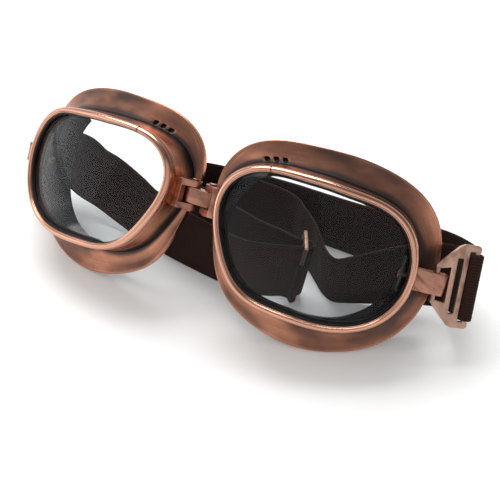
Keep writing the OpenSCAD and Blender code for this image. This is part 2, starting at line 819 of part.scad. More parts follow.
main_stations = concat(
    [bar_station(right, wrap_mid, leg + bar_gap), bar_station(right, wrap_mid, leg + 6)],
    [for (f = front_feet) station(f)],
    [for (q = slider_loop) at_slider(q[0], q[1])],
    [for (f = back_feet) station(f)],
    [bar_station(left, wrap_mid, leg + 6), bar_station(left, wrap_mid, leg + bar_gap)]
);
tail_stations = concat(
    [bar_station(left, -wrap_mid, leg + bar_gap), bar_station(left, -wrap_mid, leg + 6)],
    [for (f = tail_feet) station(f)]
);
last_main = len(main_stations) - 1;
last_tail = len(tail_stations) - 1;
side_right = run(main_stations, 0, right_count - 1, 4);
back_run = run(main_stations, right_count - 1, last_main - left_count + 1, 4);
side_left = run(main_stations, last_main - left_count + 1, last_main, 4);
side_tail = run(tail_stations, 0, tail_count - 1, 4);
tail_run = run(tail_stations, tail_count - 1, last_tail, 4);
joint_gap = 0.3;

// The front rim and the strap reach equally far from the middle
back_y = max([for (s = back_run) s[0][1] + s[1][1] * strap_w / 2]) + strap_t / 2;
middle_y = (front_y + back_y) / 2;

// The wrapped ends of the strap reach equally far to both sides
wrap_edge = concat(
    [for (a = [-180:7.5:0]) wrap_out * [cos(a), sin(a)]],
    [[-wrap_out, leg], [wrap_out, leg]]
);
function reach(side) = max([
    for (p = wrap_edge, z = [-strap_w / 2, strap_w / 2])
        side * from_buckle([bar_span + p[0], p[1], z], side)[0]
]);
middle_x = (reach(left) - reach(right)) / 2;

module strap_side(side) {
    color(elastic) behind() union() {
        if (side == right) {
            ribbon(side_right, 0, joint_gap);
        } else {
            ribbon(side_left, joint_gap, 0);
            ribbon(side_tail, 0, joint_gap);
        }
    }
}

module strap_back() {
    color(elastic) behind() ribbon(back_run, joint_gap, joint_gap);
}

module strap_tail() {
    color(elastic) behind() ribbon(tail_run, joint_gap, 0);
}

module strap_slider() {
    color(copper) behind() translate(slider_place + [0, 0, slider_rise]) rotate([-slider_back, slider_side, 0])
        rotate([0, 0, slider_turn]) difference() {
            translate([-slider_t / 2, -slider_len / 2, 0]) cube([slider_t, slider_len, slider_h]);
            for (s = [-1, 1])
                translate([-slider_t, s * lane - slider_slot / 2, slider_end])
                    cube([2 * slider_t, slider_slot, slider_h - 2 * slider_end]);
        }
}

bezel(left);  // bezel_left
bezel(right);  // bezel_right
lens(left);  // lens_left
lens(right);  // lens_right
gasket(left);  // gasket_left
gasket(right);  // gasket_right
front_frame(left);  // front_frame_left
front_frame(right);  // front_frame_right
brim(left);  // brim_left
brim(right);  // brim_right
eye_cup(left);  // eye_cup_left
eye_cup(right);  // eye_cup_right
face_pad(left);  // face_pad_left
face_pad(right);  // face_pad_right
hinge_bracket(left);  // hinge_bracket_left
hinge_bracket(right);  // hinge_bracket_right
bridge_link();
hinge_pin(left);  // hinge_pin_left
hinge_pin(right);  // hinge_pin_right
strap_tab(left);  // strap_tab_left
strap_tab(right);  // strap_tab_right
tab_plate(left);  // tab_plate_left
tab_plate(right);  // tab_plate_right
tab_rivet(left);  // tab_rivet_left
tab_rivet(right);  // tab_rivet_right
buckle(left);  // buckle_left
buckle(right);  // buckle_right
strap_end(left);  // strap_end_left
strap_end(right);  // strap_end_right
strap_side(left);  // strap_side_left
strap_side(right);  // strap_side_right
strap_back();
strap_tail();
strap_slider();
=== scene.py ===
import math
import bmesh
import bpy
from mathutils import Matrix, Vector, noise


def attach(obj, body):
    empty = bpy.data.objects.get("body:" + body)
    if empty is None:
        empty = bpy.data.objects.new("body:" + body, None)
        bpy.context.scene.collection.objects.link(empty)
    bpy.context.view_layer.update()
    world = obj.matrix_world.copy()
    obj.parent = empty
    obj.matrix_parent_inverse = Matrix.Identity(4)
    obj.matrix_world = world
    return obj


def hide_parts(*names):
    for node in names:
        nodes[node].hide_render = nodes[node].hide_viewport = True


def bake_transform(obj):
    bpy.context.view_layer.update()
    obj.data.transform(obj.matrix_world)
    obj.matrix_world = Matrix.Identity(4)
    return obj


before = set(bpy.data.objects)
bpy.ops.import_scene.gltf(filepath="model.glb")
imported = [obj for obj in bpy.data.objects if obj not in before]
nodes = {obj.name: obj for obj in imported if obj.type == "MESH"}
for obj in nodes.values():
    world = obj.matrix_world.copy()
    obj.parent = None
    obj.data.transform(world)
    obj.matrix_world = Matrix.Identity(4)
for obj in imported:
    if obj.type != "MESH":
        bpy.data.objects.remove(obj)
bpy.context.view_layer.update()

scene = bpy.context.scene
mm = 0.001
sides = {"left": 1, "right": -1}
print("frame loaded:", len(nodes), "nodes")


cup = {
    "middle": 53.9,
    "yaw": 12.8,
    "lean": 34.6,
    "across": 5.65355,
    "back": 24.3744,
    "rise": 49.5812,
    "rim": (35.45, 6.6, -1.35, 0.2, 1.1, -0.5, -0.6, 0.15, 0.5, -0.35, -0.2),
    "brim": (45.25, 3.55, -1.4, 0.5, 1.7, -1.25, -0.5, 0.35, 0.25, -0.5, 0),
    "eye": (33, 3, 0, 0, 0, 0, 0, 0, 0, 0, 0),
    "rimBow": (89, 115),
    "creaseBow": (71, 83),
    "brimBow": (105, 182),
    "faceBow": (97, 182),
}


def sinD(a):
    return math.sin(math.radians(a))


def cosD(a):
    return math.cos(math.radians(a))


def outline(line, t):
    waves = sum(line[2 * n - 3] * cosD(n * t) + line[2 * n - 2] * sinD(n * t) for n in range(2, 7))
    return line[0] + waves


def bow(x, z, radii):
    return x * x / (2 * radii[0]) + z * z / (2 * radii[1])


def mix(a, b, w):
    return a * (1 - w) + b * w


def onTable(p):
    x, y, z = p
    lean = cup["lean"]
    return Vector((
        x - cup["across"],
        y * cosD(lean) + z * sinD(lean) - cup["back"],
        z * cosD(lean) - y * sinD(lean) + cup["rise"],
    ))


def fromCup(p, side):
    x, y, z = p
    turn = cup["yaw"]
    return onTable((
        side * (x * cosD(turn) - y * sinD(turn) + cup["middle"]),
        x * sinD(turn) + y * cosD(turn),
        z,
    ))


def rimPoint(t, grow, depth, m=0.0):
    r = outline(cup["rim"], t) + grow
    x, z = r * cosD(t), r * sinD(t)
    return Vector((x, depth + mix(bow(x, z, cup["rimBow"]), bow(x, z, cup["creaseBow"]), m), z))


def brimEdge(t, grow):
    r = outline(cup["brim"], t) + grow
    x, z = r * cosD(t) + 2.7, r * sinD(t) - 0.6
    return Vector((x, 15.85 + bow(x, z, cup["brimBow"]), z))


def brimPoint(t, w, back, grow=0.0):
    a, b = rimPoint(t, 0.95, 11, 1), brimEdge(t, grow)
    return Vector((mix(a.x, b.x, w), mix(a.y, b.y, 1 - (1 - w) ** 1.4) + back, mix(a.z, b.z, w)))


def faceAt(x, z):
    return 23.8 + 0.076 * x + bow(x, z, cup["faceBow"])


def eyePoint(t, grow, back):
    r = outline(cup["eye"], t) + grow
    x, z = r * cosD(t), r * sinD(t)
    return Vector((x, faceAt(x, z) + back, z))


def cupPoint(t, v, grow):
    a, b = rimPoint(t, -3.8 + grow, 6.7, 0.3), eyePoint(t, grow, -1.5)
    return Vector((mix(a.x, b.x, v * v), mix(a.y, b.y, v), mix(a.z, b.z, v * v)))


def padPoint(t, q, v):
    s, e = brimPoint(t, 1, 2.35, -1.6), eyePoint(t, 1.3, 0)
    x, z = mix(s.x, e.x, q), mix(s.z, e.z, q)
    return Vector((x, mix(s.y, faceAt(x, z), v), z))


def deselect():
    if bpy.context.object and bpy.context.object.mode != "OBJECT":
        bpy.ops.object.mode_set(mode="OBJECT")
    bpy.ops.object.select_all(action="DESELECT")


def take(piece):
    deselect()
    piece.select_set(True)
    bpy.context.view_layer.objects.active = piece


def applyModifier(piece, kind, **values):
    take(piece)
    modifier = piece.modifiers.new(kind.title(), kind)
    for key, value in values.items():
        setattr(modifier, key, value)
    bpy.ops.object.modifier_apply(modifier=modifier.name)


def softShade(piece, angle=38):
    take(piece)
    bpy.ops.object.shade_smooth_by_angle(angle=math.radians(angle))


def settle(piece):
    take(piece)
    bpy.ops.object.transform_apply(location=True, rotation=True, scale=True)


def editAll(piece, *steps):
    take(piece)
    bpy.ops.object.mode_set(mode="EDIT")
    bpy.ops.mesh.select_all(action="SELECT")
    for step in steps:
        step()
    bpy.ops.object.mode_set(mode="OBJECT")


def mergeDoubles():
    bpy.ops.mesh.remove_doubles(threshold=0.000002)


def outwards():
    bpy.ops.mesh.normals_make_consistent(inside=False)


def selectOpenEdges():
    bpy.ops.mesh.select_mode(type="EDGE")
    bpy.ops.mesh.select_all(action="DESELECT")
    bpy.ops.mesh.select_non_manifold(extend=False, use_wire=False, use_multi_face=False, use_non_contiguous=False,
                                     use_verts=False)


def closeOpenEnds():
    selectOpenEdges()
    bpy.ops.mesh.edge_face_add()
    bpy.ops.mesh.select_all(action="SELECT")
    outwards()
    bpy.ops.object.mode_set(mode="OBJECT")


def dropUvs(piece):
    while piece.data.uv_layers:
        piece.data.uv_layers.remove(piece.data.uv_layers[0])


def shapedGrid(name, columns, rows, placeAt, markAt=None):
    deselect()
    bpy.ops.mesh.primitive_grid_add(x_subdivisions=columns, y_subdivisions=rows, size=1)
    piece = bpy.context.object
    piece.name = piece.data.name = name
    mesh = piece.data
    cells = [(round((v.co.x + 0.5) * columns), round((v.co.y + 0.5) * rows)) for v in mesh.vertices]
    if markAt:
        # per-vertex marks: brush steers the grain, the second lightens rubbed edges and paints highlights, the
        # third paints shade into creases, recesses and rear faces
        for key, kind in (("brush", "FLOAT_VECTOR"), ("wearAndHighlight", "FLOAT"), ("paintedShade", "FLOAT")):
            mesh.attributes.new(key, kind, "POINT")
        brush, wearAndHighlight, paintedShade = (mesh.attributes[key] for key in ("brush", "wearAndHighlight", "paintedShade"))
    for v, (i, j) in zip(mesh.vertices, cells):
        v.co = placeAt(i, j)
        if markAt:
            brush.data[v.index].vector, wearAndHighlight.data[v.index].value, paintedShade.data[v.index].value = markAt(i, j)
    dropUvs(piece)
    return piece


def ringPiece(name, side, angles, profile, pointAt, marks=None, closed=True):
    loop = list(profile) + ([profile[0]] if closed else [])
    columns, rows = len(angles), len(loop) - 1
    lengths = [0.0]
    for a, b in zip(loop, loop[1:]):
        lengths.append(lengths[-1] + (pointAt(90, b) - pointAt(90, a)).length)

    def placeAt(i, j):
        return fromCup(pointAt(angles[i % columns], loop[j]), side) * mm

    def markAt(i, j):
        t = angles[i % columns]
        along = lengths[j if j < rows else 0] if closed else lengths[j]
        # each ring's pair: lightening for rubbed edges and painted highlights, then painted shade
        wearAndHighlight, paintedShade = marks[j % len(marks)] if marks else (0.0, 0.0)
        return (4 * cosD(t), 4 * sinD(t), along), wearAndHighlight, paintedShade

    piece = shapedGrid(name, columns, rows, placeAt, markAt)
    editAll(piece, mergeDoubles, outwards)
    return piece


ringCount = 180  # stations round a cup
ringAngles = [360 * i / ringCount for i in range(ringCount)]


def give(piece, material):
    piece.data.materials.clear()
    piece.data.materials.append(material)
    return piece


def cadCopy(node, name, width, segments=2, angle=28):
    deselect()
    mesh = nodes[node].data.copy()
    piece = bpy.data.objects.new(name, mesh)
    mesh.name = name
    scene.collection.objects.link(piece)
    editAll(piece, mergeDoubles, lambda: bpy.ops.mesh.dissolve_limited(angle_limit=math.radians(2)))
    applyModifier(piece, "BEVEL", width=width * mm, segments=segments, limit_method="ANGLE",
                  angle_limit=math.radians(angle), harden_normals=False)
    softShade(piece, 40)
    return piece


def newMaterial(name):
    material = bpy.data.materials.new(name)
    material.use_nodes = True
    tree = material.node_tree
    shader = next(n for n in tree.nodes if n.type == "BSDF_PRINCIPLED")
    return material, tree, shader


def put(tree, kind, values=None, **settings):
    node = tree.nodes.new(kind)
    for key, value in settings.items():
        setattr(node, key, value)
    for key, value in (values or {}).items():
        if hasattr(value, "is_output"):
            tree.links.new(value, node.inputs[key])
        else:
            node.inputs[key].default_value = value
    return node


def calc(tree, operation, a, b=0.0, c=0.0, clamp=False):
    return put(tree, "ShaderNodeMath", {0: a, 1: b, 2: c}, operation=operation, use_clamp=clamp).outputs[0]


def blendColour(tree, factor, a, b):
    return put(tree, "ShaderNodeMix", {0: factor, 6: a, 7: b}, data_type="RGBA", clamp_factor=True).outputs[2]


def newGroup(name, given, *extraOutputs):
    group = bpy.data.node_groups.new(name, "ShaderNodeTree")
    for key, value in given:
        kind = "Float" if isinstance(value, float) else "Color" if len(value) == 4 else "Vector"
        socket = group.interface.new_socket(key, in_out="INPUT", socket_type="NodeSocket" + kind)
        socket.default_value = value
    for key in ("Color", "Roughness", *extraOutputs, "Height"):
        kind = "NodeSocketColor" if key == "Color" else "NodeSocketFloat"
        group.interface.new_socket(key, in_out="OUTPUT", socket_type=kind)
    return group, group.nodes.new("NodeGroupInput"), group.nodes.new("NodeGroupOutput")


def feed(tree, node, **values):
    for key, value in values.items():
        tree.links.new(value, node.inputs[key])


def coverShader(tree, shader, look, strength, distance):
    relief = put(tree, "ShaderNodeBump",
                 {"Height": look.outputs["Height"], "Strength": strength, "Distance": distance})
    feed(tree, shader, Roughness=look.outputs["Roughness"], Normal=relief.outputs[0])
    tree.links.new(look.outputs["Color"], shader.inputs["Base Color"])


def colour(hexText):
    def linear(c):
        return c / 12.92 if c <= 0.04045 else ((c + 0.055) / 1.055) ** 2.4
    return tuple(linear(int(hexText[k:k + 2], 16) / 255) for k in (0, 2, 4)) + (1.0,)


# the wide sectors stand partly for brushed-metal reflections, so their weights paint highlight and shade; the
# rubbed-edge weights also paint highlights
darkening = {"spots": 0.5, "streak": 0.7, "wide": 1.5, "wearAndHighlight": -0.9}  # how far each raises the dark patina
lightening = {"wide": -1.4, "wearAndHighlight": 0.5}


def makeAgedMetal():
    group, given, out = newGroup("agedMetal", (
        ("Grain", (0, 0, 0)), ("Bright", (0.8, 0.4, 0.25, 1)), ("Middle", (0.6, 0.25, 0.15, 1)),
        ("Dark", (0.05, 0.03, 0.02, 1)), ("Patina", 0.3), ("Polish", 0.3), ("Streaks", 0.5)), "Metallic")
    place = put(group, "ShaderNodeTexCoord").outputs["Object"]
    blotch = put(group, "ShaderNodeTexNoise", {"Vector": place, "Scale": 55.0, "Detail": 4.0, "Roughness": 0.6})
    pits = put(group, "ShaderNodeTexNoise", {"Vector": place, "Scale": 900.0, "Detail": 3.0, "Roughness": 0.7})
    grain = put(group, "ShaderNodeTexNoise",
                {"Vector": given.outputs["Grain"], "Scale": 1.0, "Detail": 5.0, "Roughness": 0.72})
    # broad sectors round each ring: partly tone variation, partly painted highlight and shade standing in for the
    # streaky reflections of brushed metal
    sector = put(group, "ShaderNodeMapping", {"Vector": given.outputs["Grain"], "Scale": (1, 1, 0.08)}).outputs[0]
    toneAndSheen = put(group, "ShaderNodeTexNoise", {"Vector": sector, "Scale": 0.5, "Detail": 2.0, "Roughness": 0.5})
    # rubbed copper on edges, and painted highlights on the bead crown, the bead's inner lip and the brim's outer
    # lip
    wearAndHighlight = put(group, "ShaderNodeAttribute", attribute_name="wearAndHighlight").outputs["Fac"]
    paintedShade = put(group, "ShaderNodeAttribute", attribute_name="paintedShade").outputs["Fac"]
    streak = calc(group, "SUBTRACT", grain.outputs["Fac"], 0.5)
    wide = calc(group, "SUBTRACT", toneAndSheen.outputs["Fac"], 0.5)
    spots = calc(group, "SUBTRACT", blotch.outputs["Fac"], 0.5)
    mask = calc(group, "MULTIPLY_ADD", spots, darkening["spots"], given.outputs["Patina"])
    mask = calc(group, "MULTIPLY_ADD", streak, darkening["streak"], mask)
    mask = calc(group, "MULTIPLY_ADD", wide, darkening["wide"], mask)
    # add the painted shade of creases, recesses and rear faces, then take darkness off at rubbed and highlighted
    # rings
    mask = calc(group, "ADD", mask, paintedShade)
    mask = calc(group, "MULTIPLY_ADD", wearAndHighlight, darkening["wearAndHighlight"], mask)
    mask = put(group, "ShaderNodeMapRange", {"Value": mask, "From Min": 0.12, "From Max": 1.0},
               interpolation_type="SMOOTHSTEP").outputs[0]
    lightness = calc(group, "MULTIPLY_ADD", streak, given.outputs["Streaks"], 0.5)
    lightness = calc(group, "MULTIPLY_ADD", wide, lightening["wide"], lightness)
    lightness = calc(group, "MULTIPLY_ADD", wearAndHighlight, lightening["wearAndHighlight"], lightness)
    base = blendColour(group, lightness, given.outputs["Middle"], given.outputs["Bright"])
    tone = blendColour(group, mask, base, given.outputs["Dark"])
    rough = calc(group, "MULTIPLY_ADD", mask, 0.22, given.outputs["Polish"])
    rough = calc(group, "MULTIPLY_ADD", streak, 0.22, rough)
    rough = calc(group, "MULTIPLY_ADD", wearAndHighlight, -0.06, rough, clamp=True)
    metal = calc(group, "MULTIPLY_ADD", mask, -0.45, 1.0)
    fine = calc(group, "MULTIPLY", grain.outputs["Fac"], 0.65)
    height = calc(group, "MULTIPLY_ADD", pits.outputs["Fac"], 0.35, fine)
    feed(group, out, Color=tone, Roughness=rough, Metallic=metal, Height=height)
    return group


agedMetal = makeAgedMetal()

# dark is the patina tone, which the painted shade in creases and recesses also darkens towards
copperTones = {
    "bead": {"bright": "dba58d", "middle": "b07a66", "dark": "3a2a25", "patina": 0.14, "polish": 0.26,
             "streaks": 1.0, "bump": 0.06},
    "brim": {"bright": "d19277", "middle": "8d5c4a", "dark": "3f322e", "patina": 0.45, "polish": 0.26,
             "streaks": 1.7, "bump": 0.1},
    "wall": {"bright": "cf8d6e", "middle": "8e5a46", "dark": "120e0e", "patina": 0.42, "polish": 0.25,
             "streaks": 1.3, "bump": 0.07},
    "fitting": {"bright": "c9957f", "middle": "926352", "dark": "33261f", "patina": 0.2, "polish": 0.3,
                "streaks": 1.2, "bump": 0.1},
    "casting": {"bright": "d2ac9a", "middle": "a27f6e", "dark": "4a3d38", "patina": 0.26, "polish": 0.33,
                "streaks": 0.9, "bump": 0.12},
}


def copperFinish(name, tones, grainScale, followBrush):
    material, tree, shader = newMaterial(name)
    if followBrush:
        source = put(tree, "ShaderNodeAttribute", attribute_name="brush").outputs["Vector"]
    else:
        source = put(tree, "ShaderNodeTexCoord").outputs["Object"]
    grain = put(tree, "ShaderNodeMapping", {"Vector": source, "Scale": grainScale}).outputs[0]
    metal = put(tree, "ShaderNodeGroup", node_tree=agedMetal)
    tree.links.new(grain, metal.inputs["Grain"])
    for key in ("bright", "middle", "dark"):
        metal.inputs[key.title()].default_value = colour(tones[key])
    for key in ("patina", "polish", "streaks"):
        metal.inputs[key.title()].default_value = tones[key]
    coverShader(tree, shader, metal, tones["bump"], 0.0004)
    tree.links.new(metal.outputs["Metallic"], shader.inputs["Metallic"])
    return material


beadCopper = copperFinish("beadCopper", copperTones["bead"], (0.6, 0.6, 2.6), True)
brimCopper = copperFinish("brimCopper", copperTones["brim"], (0.8, 0.8, 2.2), True)
wallCopper = copperFinish("wallCopper", copperTones["wall"], (0.8, 0.8, 2.2), True)
fittingCopper = copperFinish("fittingCopper", copperTones["fitting"], (160, 900, 900), False)
castCopper = copperFinish("castCopper", copperTones["casting"], (500, 500, 500), False)


def makeFineGrain():
    group, given, out = newGroup("fineGrain", (
        ("Tone", (0.02, 0.02, 0.02, 1)), ("Dusty", (0.05, 0.05, 0.05, 1)), ("Pores", 1400.0), ("Clouds", 60.0),
        ("Dust", 0.4), ("Polish", 0.4)))
    place = put(group, "ShaderNodeTexCoord").outputs["Object"]
    cloud = put(group, "ShaderNodeTexNoise", {"Vector": place, "Detail": 4.0, "Roughness": 0.6})
    pore = put(group, "ShaderNodeTexVoronoi", {"Vector": place, "Randomness": 1.0})
    group.links.new(given.outputs["Clouds"], cloud.inputs["Scale"])
    group.links.new(given.outputs["Pores"], pore.inputs["Scale"])
    amount = calc(group, "MULTIPLY", calc(group, "SUBTRACT", cloud.outputs["Fac"], 0.42, clamp=True),
                  calc(group, "MULTIPLY", given.outputs["Dust"], 2.5), clamp=True)
    tone = blendColour(group, amount, given.outputs["Tone"], given.outputs["Dusty"])
    rough = calc(group, "MULTIPLY_ADD", amount, 0.25, given.outputs["Polish"], clamp=True)
    height = calc(group, "MULTIPLY_ADD", cloud.outputs["Fac"], 0.3, pore.outputs["Distance"])
    feed(group, out, Color=tone, Roughness=rough, Height=height)
    return group


fineGrain = makeFineGrain()


def mouldedFinish(name, tone, dusty, pores, clouds, dust, polish, bump, sheen=0.0):
    material, tree, shader = newMaterial(name)
    grain = put(tree, "ShaderNodeGroup", node_tree=fineGrain)
    for key, value in (("Tone", colour(tone)), ("Dusty", colour(dusty)), ("Pores", pores), ("Clouds", clouds),
                       ("Dust", dust), ("Polish", polish)):
        grain.inputs[key].default_value = value
    coverShader(tree, shader, grain, bump, 0.0003)
    shader.inputs["Sheen Weight"].default_value = sheen
    return material


linerRubber = mouldedFinish("linerRubber", "0f1014", "1e2026", 1500.0, 45.0, 0.3, 0.2, 0.02)
gasketRubber = mouldedFinish("gasketRubber", "0d0d0f", "202024", 1200.0, 80.0, 0.3, 0.38, 0.06)
padFoam = mouldedFinish("padFoam", "121213", "2a2a2c", 1100.0, 35.0, 0.6, 0.78, 0.5, 0.25)
plateRubber = mouldedFinish("plateRubber", "1b1c20", "3a3c42", 1300.0, 90.0, 0.5, 0.36, 0.05)


def makeElasticWeave():
    group, given, out = newGroup("elasticWeave", (
        ("Yarn", (0.03, 0.015, 0.01, 1)), ("Raised", (0.08, 0.04, 0.03, 1)), ("Rib", 1.15), ("Thread", 0.8)))
    weave = put(group, "ShaderNodeAttribute", attribute_name="weave")
    parts = put(group, "ShaderNodeSeparateXYZ", {0: weave.outputs["Vector"]})
    along, across = parts.outputs[0], parts.outputs[1]
    ribTurn = calc(group, "MULTIPLY", calc(group, "DIVIDE", across, given.outputs["Rib"]), math.pi)
    rib = calc(group, "ABSOLUTE", calc(group, "COSINE", ribTurn))
    ribNumber = calc(group, "ROUND", calc(group, "DIVIDE", across, given.outputs["Rib"]))
    flip = calc(group, "MULTIPLY", ribNumber, math.pi)  # neighbouring ribs take turns
    threadTurn = calc(group, "MULTIPLY", calc(group, "DIVIDE", along, given.outputs["Thread"]), 2 * math.pi)
    thread = calc(group, "MULTIPLY_ADD", calc(group, "SINE", calc(group, "ADD", threadTurn, flip)), 0.5, 0.5)
    stretch = put(group, "ShaderNodeMapping", {"Vector": weave.outputs["Vector"], "Scale": (0.12, 1.3, 1)})
    fibre = put(group, "ShaderNodeTexNoise", {"Vector": stretch.outputs[0], "Scale": 1.6, "Detail": 4.0})
    place = put(group, "ShaderNodeTexCoord").outputs["Object"]
    cloud = put(group, "ShaderNodeTexNoise", {"Vector": place, "Scale": 45.0, "Detail": 3.0})
    fuzz = put(group, "ShaderNodeTexNoise", {"Vector": place, "Scale": 2600.0, "Detail": 2.0})
    raised = calc(group, "MULTIPLY", rib, calc(group, "MULTIPLY_ADD", thread, 0.5, 0.5))
    light = calc(group, "MULTIPLY_ADD", calc(group, "SUBTRACT", fibre.outputs["Fac"], 0.5), 0.9, raised)
    uneven = calc(group, "SUBTRACT", cloud.outputs["Fac"], 0.5)
    light = calc(group, "MULTIPLY_ADD", uneven, 0.5, light, clamp=True)
    tone = blendColour(group, light, given.outputs["Yarn"], given.outputs["Raised"])
    rough = calc(group, "MULTIPLY_ADD", raised, -0.15, 0.92)
    height = calc(group, "MULTIPLY_ADD", fuzz.outputs["Fac"], 0.25, raised)
    feed(group, out, Color=tone, Roughness=rough, Height=height)
    return group


elasticWeave = makeElasticWeave()


def elasticFinish(name, yarn, raised, bump):
    material, tree, shader = newMaterial(name)
    weave = put(tree, "ShaderNodeGroup", node_tree=elasticWeave)
    weave.inputs["Yarn"].default_value = colour(yarn)
    weave.inputs["Raised"].default_value = colour(raised)
    coverShader(tree, shader, weave, bump, 0.0003)
    shader.inputs["Sheen Weight"].default_value = 0.03
    shader.inputs["Specular IOR Level"].default_value = 0.2
    shader.inputs["Sheen Roughness"].default_value = 0.45
    return material


brownElastic = elasticFinish("brownElastic", "1c0d09", "30180f", 0.3)


def lensFinish():
    material, tree, shader = newMaterial("clearLens")
    place = put(tree, "ShaderNodeTexCoord").outputs["Object"]
    haze = put(tree, "ShaderNodeTexNoise", {"Vector": place, "Scale": 90.0, "Detail": 5.0, "Roughness": 0.65})
    tint = blendColour(tree, haze.outputs["Fac"], colour("f4f7f8"), colour("eef2f3"))
    tree.links.new(tint, shader.inputs["Base Color"])
    shader.inputs["Roughness"].default_value = 0.0
    shader.inputs["Transmission Weight"].default_value = 1.0
    shader.inputs["IOR"].default_value = 1.2  # a coated lens mirrors little
    clear = put(tree, "ShaderNodeBsdfTransparent", {"Color": (0.93, 0.94, 0.95, 1)})
    path = put(tree, "ShaderNodeLightPath")
    both = put(tree, "ShaderNodeMixShader", {0: path.outputs["Is Shadow Ray"]})
    tree.links.new(shader.outputs[0], both.inputs[1])
    tree.links.new(clear.outputs[0], both.inputs[2])
    outNode = next(n for n in tree.nodes if n.type == "OUTPUT_MATERIAL")
    tree.links.new(both.outputs[0], outNode.inputs["Surface"])
    return material


clearLens = lensFinish()
print("finishes made")


bead = {
    "line": [(0, 1.95), (0, 1.2), (-0.05, 0.72), (-0.2, 0.25), (-0.5, -0.12), (-0.86, -0.38), (-1.25, -0.52),
             (-1.66, -0.5), (-2.02, -0.36), (-2.3, -0.05), (-2.45, 0.24), (-2.54, 0.34), (-2.64, 0.36),
             (-2.76, 0.42), (-2.87, 0.62), (-2.9, 0.95), (-2.9, 1.6), (-2.86, 1.95)],
    # per ring of the line: rubbed copper with painted highlight on the crown and inner lip, painted shade on the
    # back and the lens-facing side
    "marks": [(0, 0.5), (0.1, 0.25), (0.25, 0.05), (0.5, 0), (0.8, 0), (1, 0), (1, 0), (1, 0), (0.9, 0),
              (0.5, 0.05), (0.1, 0.35), (0.1, 0.4), (0.7, 0.1), (0.9, 0), (0.3, 0.2), (0, 0.4), (0, 0.5),
              (0, 0.5)],
    "splitAngle": 131,
    "splitWidth": 0.5,
    "cutReach": 9,
    "gapReach": 6,
}


def makeBezel(name, side):
    piece = ringPiece(name, side, ringAngles, bead["line"], lambda t, s: rimPoint(t, s[0], s[1]), bead["marks"])
    t = bead["splitAngle"]
    middle = fromCup(rimPoint(t, -1.4, 0.8), side) * mm
    alongRim = (fromCup(rimPoint(t + 1, -1.4, 0.8), side) - fromCup(rimPoint(t - 1, -1.4, 0.8), side)).normalized()
    take(piece)
    bpy.ops.object.mode_set(mode="EDIT")
    bpy.ops.mesh.select_mode(type="FACE")
    mesh = bmesh.from_edit_mesh(piece.data)

    def nearSplit(reach):
        for f in mesh.faces:
            f.select_set((f.calc_center_median() - middle).length < reach * mm)
        bmesh.update_edit_mesh(piece.data)

    for way in (-1, 1):
        nearSplit(bead["cutReach"])
        bpy.ops.mesh.bisect(plane_co=middle + alongRim * (way * bead["splitWidth"] / 2 * mm), plane_no=alongRim)
        mesh = bmesh.from_edit_mesh(piece.data)
    for f in mesh.faces:
        offset = f.calc_center_median() - middle
        inGap = abs(offset.dot(alongRim)) < bead["splitWidth"] / 2 * mm
        f.select_set(offset.length < bead["gapReach"] * mm and inGap)
    bmesh.update_edit_mesh(piece.data)
    bpy.ops.mesh.delete(type="FACE")
    closeOpenEnds()
    softShade(piece, 50)
    return give(piece, beadCopper)


lensShape = {"grow": -2.55, "front": 2.75, "back": 4.65, "rings": 14}


def makeLens(name, side):
    n = lensShape["rings"]
    outer = [k / n for k in range(n + 1)]
    profile = [(s, lensShape["front"]) for s in outer[:-1]] + [(0.985, lensShape["front"] + 0.02)]
    profile += [(1.0, lensShape["front"] + 0.25), (1.0, lensShape["back"] - 0.25)]
    profile += [(0.985, lensShape["back"] - 0.02)] + [(s, lensShape["back"]) for s in reversed(outer[:-1])]

    def pointAt(t, station):
        s, depth = station
        p = rimPoint(t, lensShape["grow"], 0)
        x, z = p.x * s, p.z * s
        return Vector((x, depth + bow(x, z, cup["rimBow"]), z))

    piece = ringPiece(name, side, ringAngles, profile, pointAt, closed=False)
    softShade(piece, 50)
    return give(piece, clearLens)


gasketLine = [(-1.5, 2.0), (-3.38, 2.0), (-3.47, 2.05), (-3.5, 2.14), (-3.5, 2.58), (-3.46, 2.67), (-3.38, 2.7),
              (-2.5, 2.7), (-2.5, 4.7), (-3.55, 4.7), (-3.66, 4.74), (-3.7, 4.86), (-3.7, 5.62), (-3.66, 5.76),
              (-3.55, 5.8), (-1.5, 5.8)]


def makeGasket(name, side):
    piece = ringPiece(name, side, ringAngles, gasketLine, lambda t, s: rimPoint(t, s[0], s[1]))
    softShade(piece, 45)
    return give(piece, gasketRubber)


wallLine = {
    "places": [
        ("rim", -0.05, 2.0, 0), ("rim", 0.0, 2.1, 0.02), ("rim", 0.03, 3.2, 0.12), ("rim", 0.05, 4.4, 0.25),
        ("rim", 0.2, 6.0, 0.44), ("rim", 0.36, 7.2, 0.56), ("rim", 0.5, 8.3, 0.69), ("rim", 0.66, 9.4, 0.8),
        ("rim", 0.8, 10.4, 0.92), ("rim", 0.9, 11.0, 1), ("rim", 0.9, 12.2, 1), ("brim", 0.2, 1.35, 0),
        ("brim", 0.2, 2.2, 0), ("rim", -0.55, 12.9, 1), ("rim", -0.85, 6.65, 0.3), ("rim", -3.8, 6.65, 0.3),
        ("rim", -3.8, 5.85, 0), ("rim", -1.45, 5.85, 0), ("rim", -1.45, 2.0, 0)],
    # per ring: bright rubbed copper behind the bead, grading into painted shade towards the crease and over the
    # inner faces
    "marks": [(0.5, 0.1), (0.85, 0), (0.75, 0), (0.5, 0), (0.3, 0.05), (0.15, 0.15), (0.05, 0.3), (0, 0.45),
              (0, 0.65), (0, 0.85), (0, 0.9), (0, 0.9), (0, 0.9), (0, 0.9), (0, 0.9), (0, 0.9), (0, 0.9),
              (0, 0.9), (0, 0.9)],
}


